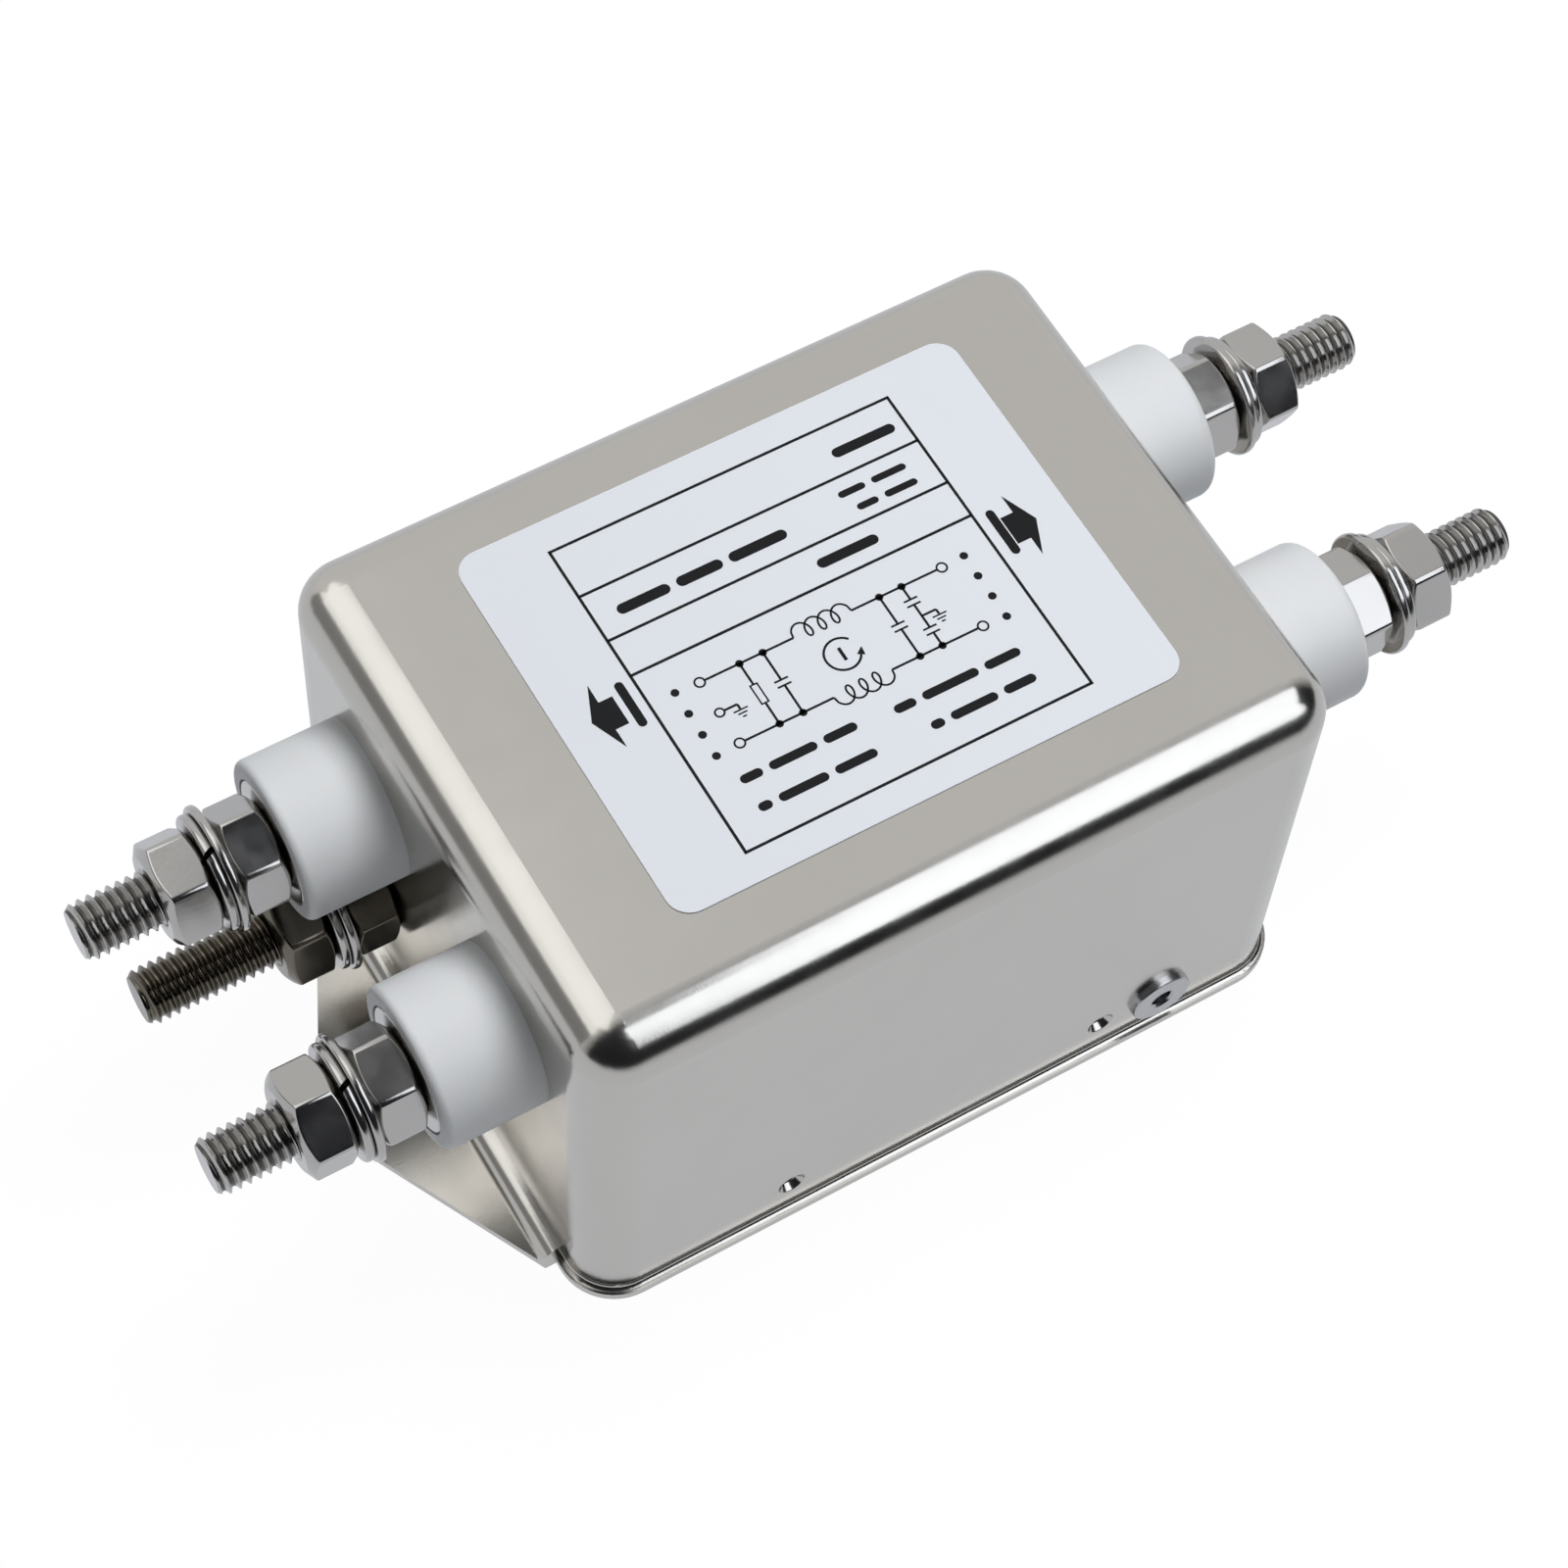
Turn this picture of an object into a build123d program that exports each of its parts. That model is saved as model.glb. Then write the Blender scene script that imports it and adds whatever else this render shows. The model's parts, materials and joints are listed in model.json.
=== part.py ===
from build123d import *
from math import radians, sqrt, tan
import os

os.makedirs("parts", exist_ok=True)

# Line filter in a drawn steel can with stud terminals.
# X runs from the line end (-X) to the load end (+X), Y to the back, Z up.
# The origin is the middle of the can's footprint, on the mounting plane.

# Can
can_length = 80.4
can_width = 61.2
can_height = 50.8
sheet = 1.0
can_corner_r = 5.2
can_top_r = 4.9
lip_reach = 0.8
lip_bend_r = 0.6

# Mounting ears
ear_root_width = 49.0
ear_root_reach = 2.0
ear_tip_r = 6.2
ear_bend_r = 2.4
slot_spacing = 95.0
slot_width = 5.0
slot_length = 7.5

# Cover that closes the can from below
cover_sheet = 1.0
cover_clearance = 0.1
flange_length = 62.0
flange_height = 9.5
press_mark_x = 18.0
press_mark_z = 5.6
press_mark_r = 1.5
press_mark_depth = 0.75
press_mark_taper = 30.0
press_mark_rim_r = 0.15
press_bump_r = 2.0
press_hole_clearance = 0.15

# Blind rivets, one on each long side
rivet_x = 24.9
rivet_z = 5.8
rivet_r = 2.0
rivet_head_r = 3.4
rivet_head_height = 0.8
rivet_head_taper = 8.0
rivet_head_edge_r = 0.25
rivet_rim_chamfer = 0.25
rivet_tail_r = 2.8
rivet_tail_height = 1.4
rivet_bore_r = 1.15
rivet_hole_clearance = 0.05

# Label
label_length = 54.4
label_width = 43.3
label_x = 1.2
label_y = 1.25
label_corner_r = 2.4
label_thickness = 0.15

# Terminals
terminal_y = 13.65
terminal_z = 33.1
stud_r = 3.0
stud_engaged_r = 2.7
stud_chamfer = 0.6
stud_clearance = 0.1
nut_bore_clearance = 0.05
bushing_r = 8.35
line_bushing_length = 10.3
load_bushing_length = 11.2
line_bushing_edge_r = 0.8
load_bushing_edge_r = 1.0
spigot_r = 5.2
spigot_reach = 0.5
spigot_clearance = 0.05
inner_flange_r = 7.0
inner_flange_thickness = 2.5
line_stud_free = 8.0
load_stud_free = 8.5
stud_inner_free = 1.3

# Fasteners, M6
nut_across_flats = 10.0
nut_thickness = 5.2
nut_face_r = 4.3
nut_chamfer_angle = 30.0
washer_r = 6.5
washer_thickness = 0.9
washer_hole_r = 3.2
spring_washer_r = 6.0
spring_washer_thickness = 1.0
spring_washer_slit = 0.5
spring_washer_slant = 20.0
seat_recess_clearance = 0.1

# Corner directions of the nuts, in degrees from +Y towards +Z
line_seat_turns = {-1: 13.8, 1: 19.7}
line_clamp_turns = {-1: 40.3, 1: 8.4}
load_seat_turns = {-1: 34.4, 1: 13.9}
load_clamp_turns = {-1: 4.6, 1: 49.9}
earth_seat_turn = 35.6
earth_clamp_turn = 17.6
line_slit_turn = 102.0
load_slit_turn = 280.0

# Earth stud
earth_y = 12.6
earth_z = 17.5
earth_stud_free = 14.0
earth_head_thickness = 3.2
earth_strap_thickness = 0.8
earth_strap_width = 6.0
earth_foot_length = 3.0
earth_ring_r = 6.0

# Circuit board on its spacers, over an insulating liner
liner_thickness = 0.4
liner_end_gap = 1.2
liner_side_gap = 1.0
spacer_r = 3.0
spacer_height = 3.0
spacer_edge = 4.0
board_end_gap = 1.0
board_side_gap = 2.0
board_thickness = 1.6
board_corner_r = 3.0

# Choke
core_outer_r = 19.0
core_inner_r = 11.0
core_height = 14.0
core_edge_r = 1.0
wire_r = 1.1
turns_per_winding = 10
turn_pitch = 14.5
wire_bend_r = 2.2
coil_clearance = 0.05
choke_base_r = 18.0
choke_base_thickness = 1.5
divider_thickness = 1.6
divider_margin = 0.1
divider_rise = 1.5

# Capacitors and resistor
x_cap_thickness = 11.0
x_cap_length = 26.5
x_cap_height = 19.0
x_cap_x = 29.4
x_cap_edge_r = 0.8
y_cap_r = 5.0
y_cap_thickness = 4.0
y_cap_x = 30.0
y_cap_edge = 6.0
y_cap_rise = 1.0
y_cap_lead_r = 0.4
y_cap_lead_x = 2.5
resistor_r = 2.0
resistor_length = 9.0
resistor_x = -28.0
resistor_edge = 4.5
resistor_lead_r = 0.4
resistor_lead_reach = 1.6
resistor_lead_bend_r = 0.9

# Straps from the terminals to the board
strap_thickness = 1.0
strap_ring_r = 6.0
strap_width = 6.0
strap_edge = 4.0

# Worked out from the driving dimensions
end_wall = can_length / 2
side_wall = can_width / 2
inner_length = can_length - 2 * sheet
inner_width = can_width - 2 * (sheet + cover_clearance + cover_sheet)
liner_length = inner_length - 2 * liner_end_gap
liner_width = inner_width - 2 * liner_side_gap
board_length = inner_length - 2 * board_end_gap
board_width = inner_width - 2 * board_side_gap
spacer_x = board_length / 2 - spacer_edge
spacer_y = board_width / 2 - spacer_edge
strap_leg_y = board_width / 2 - strap_edge
y_cap_y = board_width / 2 - y_cap_edge
resistor_y = resistor_edge - board_width / 2
board_bottom = cover_sheet + liner_thickness + spacer_height
board_top = board_bottom + board_thickness
nut_corner_r = nut_across_flats / sqrt(3)
strap_start = sheet + inner_flange_thickness
strap_end = strap_start + strap_thickness
stud_inner_reach = strap_end + nut_thickness + stud_inner_free
clamp_stack = nut_thickness + washer_thickness + spring_washer_thickness + nut_thickness


def outward(end, reach, y, z):
    """Plane across the can's length, a given reach outside the end wall, facing away from it."""
    return Plane(origin=(end * (end_wall + reach), y, z), x_dir=(0, 1, 0), z_dir=(end, 0, 0))


def turned(end, reach, y, z, turn):
    """Place of a fastener on an outward plane, turned so that a corner points the given way."""
    return outward(end, reach, y, z).location * Rotation(0, 0, end * turn)


def across(x):
    """Plane across the can's length at x, with local x along Y and local y along Z."""
    return Plane(origin=(x, 0, 0), x_dir=(0, 1, 0), z_dir=(1, 0, 0))


def sideways(side, y):
    """Plane along a long side of the can at the given distance from the middle, facing out."""
    return Plane(origin=(0, side * y, 0), x_dir=(-side, 0, 0), z_dir=(0, side, 0))


def save(part, node):
    """Label one finished piece and write its STEP file."""
    part.label = node
    export_step(part, f"parts/{node}.step")


# Forms that are used more than once, each made at the origin

with BuildPart() as nut_form:
    with BuildSketch(Plane.XY):
        RegularPolygon(radius=nut_corner_r, side_count=6, rotation=30)
    extrude(amount=nut_thickness)
    cone_reach = nut_corner_r + 1
    cone_drop = (cone_reach - nut_face_r) * tan(radians(nut_chamfer_angle))
    with BuildSketch(Plane.XZ) as chamfer_profile:
        with BuildLine():
            Polyline(
                (0, 0),
                (nut_face_r, 0),
                (cone_reach, cone_drop),
                (cone_reach, nut_thickness - cone_drop),
                (nut_face_r, nut_thickness),
                (0, nut_thickness),
                close=True,
            )
        make_face()
    revolve(axis=Axis.Z, mode=Mode.INTERSECT)
    Hole(radius=stud_engaged_r + nut_bore_clearance)

with BuildPart() as washer_form:
    with BuildSketch(Plane.XY):
        Circle(washer_r)
        Circle(washer_hole_r, mode=Mode.SUBTRACT)
    extrude(amount=washer_thickness)

with BuildPart() as spring_washer_form:
    with BuildSketch(Plane.XY):
        Circle(spring_washer_r)
        Circle(washer_hole_r, mode=Mode.SUBTRACT)
    extrude(amount=spring_washer_thickness)
    slit_middle = (washer_hole_r + spring_washer_r) / 2
    with Locations(Location((slit_middle, 0, spring_washer_thickness / 2), (spring_washer_slant, 0, 0))):
        Box(
            spring_washer_r - washer_hole_r + 1,
            spring_washer_slit,
            spring_washer_thickness * 3,
            mode=Mode.SUBTRACT,
        )

# Can, drawn from one sheet, with a lip, two ears and four press marks at its open foot
with BuildPart() as can_cavity:
    with BuildSketch(Plane.XY):
        RectangleRounded(inner_length, can_width - 2 * sheet, can_corner_r - sheet)
    extrude(amount=can_height - sheet)
    fillet(can_cavity.faces().sort_by(Axis.Z)[-1].edges(), radius=can_top_r - sheet)

with BuildPart() as can:
    with BuildSketch(Plane.XY):
        RectangleRounded(can_length + 2 * lip_reach, can_width + 2 * lip_reach, can_corner_r + lip_reach)
    extrude(amount=sheet)
    with BuildSketch(Plane.XY.offset(sheet)):
        RectangleRounded(can_length, can_width, can_corner_r)
    extrude(amount=can_height - sheet)
    fillet(can.edges(Select.LAST).group_by(Axis.Z)[0], radius=lip_bend_r)
    fillet(can.faces().sort_by(Axis.Z)[-1].edges(), radius=can_top_r)
    for end in (-1, 1):
        bend_top = sheet + ear_bend_r
        bend_x = end * (end_wall + ear_bend_r)
        tip_x = end * (slot_spacing / 2 + ear_tip_r)
        with BuildSketch(Plane.XY):
            with Locations((end * slot_spacing / 2, 0)):
                Circle(ear_tip_r)
            with Locations((end * (end_wall + ear_root_reach / 2), 0)):
                Rectangle(ear_root_reach, ear_root_width)
            make_hull()
        extrude(amount=bend_top)
        with BuildSketch(Plane.XZ.offset(-ear_root_width / 2)):
            with BuildLine():
                RadiusArc((end * end_wall, bend_top), (bend_x, sheet), end * ear_bend_r)
                Polyline((bend_x, sheet), (tip_x, sheet), (tip_x, bend_top), (end * end_wall, bend_top))
            make_face()
        extrude(amount=ear_root_width, mode=Mode.SUBTRACT)
        with BuildSketch(Plane.XY):
            with Locations((end * slot_spacing / 2, 0)):
                SlotOverall(slot_length, slot_width)
        extrude(amount=sheet, mode=Mode.SUBTRACT)
    add(can_cavity.part, mode=Mode.SUBTRACT)
    for side in (-1, 1):
        with BuildSketch(sideways(side, side_wall - sheet)):
            with Locations((-press_mark_x, press_mark_z), (press_mark_x, press_mark_z)):
                Circle(press_bump_r)
        extrude(amount=-press_mark_depth, taper=press_mark_taper)
        with BuildSketch(sideways(side, side_wall)):
            with Locations((-press_mark_x, press_mark_z), (press_mark_x, press_mark_z)):
                Circle(press_mark_r)
        extrude(amount=-press_mark_depth, taper=press_mark_taper, mode=Mode.SUBTRACT)
    round_edges = can.edges().filter_by(GeomType.CIRCLE)
    fillet(round_edges.filter_by(lambda edge: abs(edge.radius - press_mark_r) < 0.01), radius=press_mark_rim_r)
    for side in (-1, 1):
        with BuildSketch(sideways(side, side_wall)):
            with Locations((rivet_x, rivet_z)):
                Circle(rivet_r + rivet_hole_clearance)
        extrude(amount=-2 * sheet, mode=Mode.SUBTRACT)
    for end in (-1, 1):
        with BuildSketch(across(end * end_wall)):
            with Locations((-terminal_y, terminal_z), (terminal_y, terminal_z)):
                Circle(spigot_r + spigot_clearance)
        extrude(amount=-end * 2 * sheet, mode=Mode.SUBTRACT)
    with BuildSketch(across(-end_wall)):
        with Locations((earth_y, earth_z)):
            Circle(stud_r + stud_clearance)
    extrude(amount=2 * sheet, mode=Mode.SUBTRACT)
save(can.part, "can")

# Cover with two flanges turned up inside the can's long sides
cover_length = inner_length - 2 * cover_clearance
cover_width = can_width - 2 * (sheet + cover_clearance)
with BuildPart() as bottom_cover:
    with BuildSketch(Plane.XY):
        RectangleRounded(cover_length, cover_width, can_corner_r - sheet)
    extrude(amount=cover_sheet)
    for side in (-1, 1):
        with BuildSketch(sideways(side, cover_width / 2)):
            with Locations((0, flange_height / 2)):
                Rectangle(flange_length, flange_height)
            with Locations((-press_mark_x, press_mark_z), (press_mark_x, press_mark_z)):
                Circle(press_bump_r + press_hole_clearance, mode=Mode.SUBTRACT)
            with Locations((rivet_x, rivet_z)):
                Circle(rivet_r + rivet_hole_clearance, mode=Mode.SUBTRACT)
        extrude(amount=-cover_sheet)
save(bottom_cover.part, "bottom_cover")

# Blind rivets through the wall and the flange
with BuildPart() as rivets:
    grip = sheet + cover_clearance + cover_sheet
    for side in (-1, 1):
        with BuildSketch(sideways(side, side_wall)):
            with Locations((rivet_x, rivet_z)):
                Circle(rivet_head_r)
        extrude(amount=rivet_head_height, taper=rivet_head_taper)
    head_edges = rivets.edges().filter_by(GeomType.CIRCLE).group_by(Axis.Y)
    fillet(head_edges[0] + head_edges[-1], radius=rivet_head_edge_r)
    for side in (-1, 1):
        with BuildSketch(sideways(side, side_wall)):
            with Locations((rivet_x, rivet_z)):
                Circle(rivet_r)
        extrude(amount=-grip)
        with BuildSketch(sideways(side, side_wall - grip)):
            with Locations((rivet_x, rivet_z)):
                Circle(rivet_tail_r)
        extrude(amount=-rivet_tail_height)
        with BuildSketch(sideways(side, side_wall + rivet_head_height)):
            with Locations((rivet_x, rivet_z)):
                Circle(rivet_bore_r)
        extrude(amount=-rivet_head_height - sheet, mode=Mode.SUBTRACT)
    bore_edges = rivets.edges().filter_by(lambda edge: abs(edge.center().Y) > side_wall + rivet_head_height / 2)
    bore_rims = bore_edges.filter_by(GeomType.CIRCLE).filter_by(lambda edge: edge.radius < rivet_r)
    chamfer(bore_rims, length=rivet_rim_chamfer)
save(rivets.part, "rivets")

with BuildPart() as label:
    with BuildSketch(Plane.XY.offset(can_height)):
        with Locations((label_x, label_y)):
            RectangleRounded(label_length, label_width, label_corner_r)
    extrude(amount=label_thickness)
save(label.part, "label")

# Bushings at the line end, each with a recess for its seat washer
with BuildPart() as line_bushings:
    for y in (-terminal_y, terminal_y):
        with BuildSketch(outward(-1, 0, y, terminal_z)):
            Circle(bushing_r)
        extrude(amount=line_bushing_length)
        rim = line_bushings.edges().filter_by(GeomType.CIRCLE).sort_by(Axis.X).group_by(Axis.X)[0]
        fillet(rim.filter_by(lambda edge: edge.center().Y * y > 0), radius=line_bushing_edge_r)
        with BuildSketch(outward(-1, line_bushing_length, y, terminal_z)):
            Circle(washer_r + seat_recess_clearance)
        extrude(amount=-washer_thickness, mode=Mode.SUBTRACT)
        with BuildSketch(outward(-1, 0, y, terminal_z)):
            Circle(spigot_r)
        extrude(amount=-sheet - spigot_reach)
        with BuildSketch(outward(-1, line_bushing_length, y, terminal_z)):
            Circle(stud_r + stud_clearance)
        extrude(amount=-line_bushing_length - sheet - spigot_reach, mode=Mode.SUBTRACT)
save(line_bushings.part, "line_bushings")

# Bushings at the load end, with a plain rounded outer edge
with BuildPart() as load_bushings:
    for y in (-terminal_y, terminal_y):
        with BuildSketch(outward(1, 0, y, terminal_z)):
            Circle(bushing_r)
        extrude(amount=load_bushing_length)
        rim = load_bushings.edges().filter_by(GeomType.CIRCLE).group_by(Axis.X)[-1]
        fillet(rim.filter_by(lambda edge: edge.center().Y * y > 0), radius=load_bushing_edge_r)
        with BuildSketch(outward(1, 0, y, terminal_z)):
            Circle(spigot_r)
        extrude(amount=-sheet - spigot_reach)
        with BuildSketch(outward(1, load_bushing_length, y, terminal_z)):
            Circle(stud_r + stud_clearance)
        extrude(amount=-load_bushing_length - sheet - spigot_reach, mode=Mode.SUBTRACT)
save(load_bushings.part, "load_bushings")

# Insulating flanges inside the end walls, each around a bushing's spigot
with BuildPart() as inner_flanges:
    for end in (-1, 1):
        for y in (-terminal_y, terminal_y):
            with BuildSketch(outward(end, -sheet, y, terminal_z)):
                Circle(inner_flange_r)
                Circle(stud_r + stud_clearance, mode=Mode.SUBTRACT)
            extrude(amount=-inner_flange_thickness)
            with BuildSketch(outward(end, -sheet, y, terminal_z)):
                Circle(spigot_r + spigot_clearance)
            extrude(amount=-spigot_reach, mode=Mode.SUBTRACT)
save(inner_flanges.part, "inner_flanges")

# Terminal studs, of full diameter where they stand free and of pitch diameter in the nuts
for node, end, bushing_length, free in (
    ("line_studs", -1, line_bushing_length, line_stud_free),
    ("load_studs", 1, load_bushing_length, load_stud_free),
):
    tip_reach = bushing_length + clamp_stack + free
    with BuildPart() as studs:
        for y in (-terminal_y, terminal_y):
            with BuildSketch(outward(end, -stud_inner_reach, y, terminal_z)):
                Circle(stud_engaged_r)
            extrude(amount=stud_inner_reach + tip_reach)
            with BuildSketch(outward(end, tip_reach, y, terminal_z)):
                Circle(stud_r)
            extrude(amount=-free)
        stations = studs.edges().filter_by(GeomType.CIRCLE).group_by(Axis.X)
        chamfer(stations[0] + stations[-1], length=stud_chamfer)
    save(studs.part, node)

# Seat washers in the recesses at the line end
with BuildPart() as seat_washers:
    for y in (-terminal_y, terminal_y):
        with Locations(turned(-1, line_bushing_length - washer_thickness, y, terminal_z, 0)):
            add(washer_form.part)
save(seat_washers.part, "seat_washers")

# Nuts that pull the bushings to the wall
with BuildPart() as seat_nuts:
    for side in (-1, 1):
        y = side * terminal_y
        with Locations(turned(-1, line_bushing_length, y, terminal_z, line_seat_turns[side])):
            add(nut_form.part)
        with Locations(turned(1, load_bushing_length, y, terminal_z, load_seat_turns[side])):
            add(nut_form.part)
save(seat_nuts.part, "seat_nuts")

# Nuts that clamp a cable lug against the washers
washer_stack = washer_thickness + spring_washer_thickness
with BuildPart() as clamp_nuts:
    for side in (-1, 1):
        y = side * terminal_y
        line_reach = line_bushing_length + nut_thickness + washer_stack
        with Locations(turned(-1, line_reach, y, terminal_z, line_clamp_turns[side])):
            add(nut_form.part)
        load_reach = load_bushing_length + nut_thickness + washer_stack
        with Locations(turned(1, load_reach, y, terminal_z, load_clamp_turns[side])):
            add(nut_form.part)
save(clamp_nuts.part, "clamp_nuts")

# Flat washers lie on the seat nuts
with BuildPart() as flat_washers:
    for side in (-1, 1):
        y = side * terminal_y
        with Locations(turned(-1, line_bushing_length + nut_thickness, y, terminal_z, 0)):
            add(washer_form.part)
        with Locations(turned(1, load_bushing_length + nut_thickness, y, terminal_z, 0)):
            add(washer_form.part)
    with Locations(turned(-1, nut_thickness, earth_y, earth_z, 0)):
        add(washer_form.part)
save(flat_washers.part, "flat_washers")

# Split spring washers between the flat washers and the clamp nuts
with BuildPart() as spring_washers:
    for side in (-1, 1):
        y = side * terminal_y
        line_reach = line_bushing_length + nut_thickness + washer_thickness
        with Locations(turned(-1, line_reach, y, terminal_z, line_slit_turn)):
            add(spring_washer_form.part)
        load_reach = load_bushing_length + nut_thickness + washer_thickness
        with Locations(turned(1, load_reach, y, terminal_z, load_slit_turn)):
            add(spring_washer_form.part)
    with Locations(turned(-1, nut_thickness + washer_thickness, earth_y, earth_z, line_slit_turn)):
        add(spring_washer_form.part)
save(spring_washers.part, "spring_washers")

# Earth stud, with a hexagon head inside the can
with BuildPart() as earth_stud:
    head_reach = sheet + earth_strap_thickness + earth_head_thickness
    with BuildSketch(outward(-1, -head_reach, earth_y, earth_z)):
        RegularPolygon(radius=nut_corner_r, side_count=6)
    extrude(amount=earth_head_thickness)
    with BuildSketch(outward(-1, -head_reach, earth_y, earth_z)):
        Circle(stud_engaged_r)
    extrude(amount=head_reach + clamp_stack)
    with BuildSketch(outward(-1, clamp_stack, earth_y, earth_z)):
        Circle(stud_r)
    extrude(amount=earth_stud_free)
    tip_edge = earth_stud.edges().filter_by(GeomType.CIRCLE).sort_by(Axis.X)[0]
    chamfer(tip_edge, length=stud_chamfer)
save(earth_stud.part, "earth_stud")

with BuildPart() as earth_nuts:
    with Locations(turned(-1, 0, earth_y, earth_z, earth_seat_turn)):
        add(nut_form.part)
    with Locations(turned(-1, nut_thickness + washer_stack, earth_y, earth_z, earth_clamp_turn)):
        add(nut_form.part)
save(earth_nuts.part, "earth_nuts")

# Earth strap from the stud's head down to a foot on the board
with BuildPart() as earth_strap:
    with BuildSketch(across(-end_wall + sheet)):
        with Locations((earth_y, earth_z)):
            Circle(earth_ring_r)
        with Locations((earth_y, (earth_z + board_top) / 2)):
            Rectangle(earth_strap_width, earth_z - board_top)
        with Locations((earth_y, earth_z)):
            Circle(stud_r + stud_clearance, mode=Mode.SUBTRACT)
    extrude(amount=earth_strap_thickness)
    with BuildSketch(Plane.XY.offset(board_top)):
        with Locations((-end_wall + sheet + earth_foot_length / 2, earth_y)):
            Rectangle(earth_foot_length, earth_strap_width)
    extrude(amount=earth_strap_thickness)
save(earth_strap.part, "earth_strap")

# Nuts inside the can
with BuildPart() as inner_nuts:
    for end in (-1, 1):
        for y in (-terminal_y, terminal_y):
            with Locations(turned(end, -strap_end - nut_thickness, y, terminal_z, 0)):
                add(nut_form.part)
save(inner_nuts.part, "inner_nuts")

# Copper straps from the terminals down to the board
for node, end in (("line_straps", -1), ("load_straps", 1)):
    with BuildPart() as straps:
        for side in (-1, 1):
            leg_edge = strap_leg_y + strap_width / 2
            with BuildSketch(across(end * (end_wall - strap_start))):
                with Locations((side * terminal_y, terminal_z)):
                    Circle(strap_ring_r)
                with Locations((side * (terminal_y + leg_edge) / 2, terminal_z)):
                    Rectangle(leg_edge - terminal_y, strap_width)
                with Locations((side * strap_leg_y, (terminal_z + board_top) / 2)):
                    Rectangle(strap_width, terminal_z - board_top)
                with Locations((side * terminal_y, terminal_z)):
                    Circle(stud_r + stud_clearance, mode=Mode.SUBTRACT)
            extrude(amount=-end * strap_thickness)
    save(straps.part, node)

# Insulating liner, spacers and circuit board
with BuildPart() as liner:
    with BuildSketch(Plane.XY.offset(cover_sheet)):
        Rectangle(liner_length, liner_width)
    extrude(amount=liner_thickness)
save(liner.part, "liner")

with BuildPart() as spacers:
    with BuildSketch(Plane.XY.offset(cover_sheet + liner_thickness)):
        with GridLocations(2 * spacer_x, 2 * spacer_y, 2, 2):
            Circle(spacer_r)
    extrude(amount=spacer_height)
save(spacers.part, "spacers")

with BuildPart() as circuit_board:
    with BuildSketch(Plane.XY.offset(board_bottom)):
        RectangleRounded(board_length, board_width, board_corner_r)
    extrude(amount=board_thickness)
save(circuit_board.part, "circuit_board")

# Common mode choke: base, ring core, two windings and the divider in the ring's bore
base_top = board_top + choke_base_thickness
core_bottom = base_top + 2 * wire_r + coil_clearance
core_top = core_bottom + core_height
with BuildPart() as choke_base:
    with BuildSketch(Plane.XY.offset(board_top)):
        Circle(choke_base_r)
    extrude(amount=choke_base_thickness)
save(choke_base.part, "choke_base")

with BuildPart() as choke_core:
    with BuildSketch(Plane.XY.offset(core_bottom)):
        Circle(core_outer_r)
        Circle(core_inner_r, mode=Mode.SUBTRACT)
    extrude(amount=core_height)
    fillet(choke_core.edges().filter_by(GeomType.CIRCLE), radius=core_edge_r)
save(choke_core.part, "choke_core")

# One turn of wire around the ring's section
turn_inner = core_inner_r - coil_clearance - wire_r
turn_outer = core_outer_r + coil_clearance + wire_r
turn_low = core_bottom - coil_clearance - wire_r
turn_high = core_top + coil_clearance + wire_r
with BuildPart() as turn_form:
    with BuildLine(Plane.XZ) as turn_path:
        FilletPolyline(
            (turn_inner, turn_low),
            (turn_outer, turn_low),
            (turn_outer, turn_high),
            (turn_inner, turn_high),
            radius=wire_bend_r,
            close=True,
        )
    with BuildSketch(Plane(origin=((turn_inner + turn_outer) / 2, 0, turn_low), z_dir=(1, 0, 0))):
        Circle(wire_r)
    sweep(path=turn_path.wire())

with BuildPart() as lead_form:
    with BuildSketch(Plane.XY.offset(board_top)):
        with Locations((turn_outer, 0)):
            Circle(wire_r)
    extrude(amount=core_bottom + wire_bend_r - board_top)

first_turn = 90 - turn_pitch * (turns_per_winding - 1) / 2
for node, facing in (("front_winding", 180), ("back_winding", 0)):
    with BuildPart() as winding:
        for turn in range(turns_per_winding):
            angle = facing + first_turn + turn * turn_pitch
            with Locations(Location((0, 0, 0), (0, 0, angle))):
                add(turn_form.part)
                if turn in (0, turns_per_winding - 1):
                    add(lead_form.part)
    save(winding.part, node)

with BuildPart() as core_divider:
    with BuildSketch(Plane.XY.offset(base_top)):
        Rectangle(2 * (core_inner_r - divider_margin), divider_thickness)
    extrude(amount=core_top + divider_rise - base_top)
save(core_divider.part, "core_divider")

# Capacitors and the bleeder resistor on the board
with BuildPart() as x_capacitors:
    for x in (-x_cap_x, x_cap_x):
        with BuildSketch(Plane.XY.offset(board_top)):
            with Locations((x, 0)):
                RectangleRounded(x_cap_thickness, x_cap_length, x_cap_edge_r)
        extrude(amount=x_cap_height)
    top_edges = x_capacitors.edges().group_by(Axis.Z)[-1]
    fillet(top_edges, radius=x_cap_edge_r / 2)
save(x_capacitors.part, "x_capacitors")

with BuildPart() as y_capacitors:
    for y in (-y_cap_y, y_cap_y):
        disc_z = board_top + y_cap_rise + y_cap_r
        with Locations(Location((y_cap_x, y, disc_z), (90, 0, 0))):
            Cylinder(radius=y_cap_r, height=y_cap_thickness)
    fillet(y_capacitors.edges().filter_by(GeomType.CIRCLE), radius=y_cap_thickness / 3)
    for y in (-y_cap_y, y_cap_y):
        with BuildSketch(Plane.XY.offset(board_top)):
            with Locations((y_cap_x - y_cap_lead_x, y), (y_cap_x + y_cap_lead_x, y)):
                Circle(y_cap_lead_r)
        extrude(amount=y_cap_r)
save(y_capacitors.part, "y_capacitors")

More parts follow.
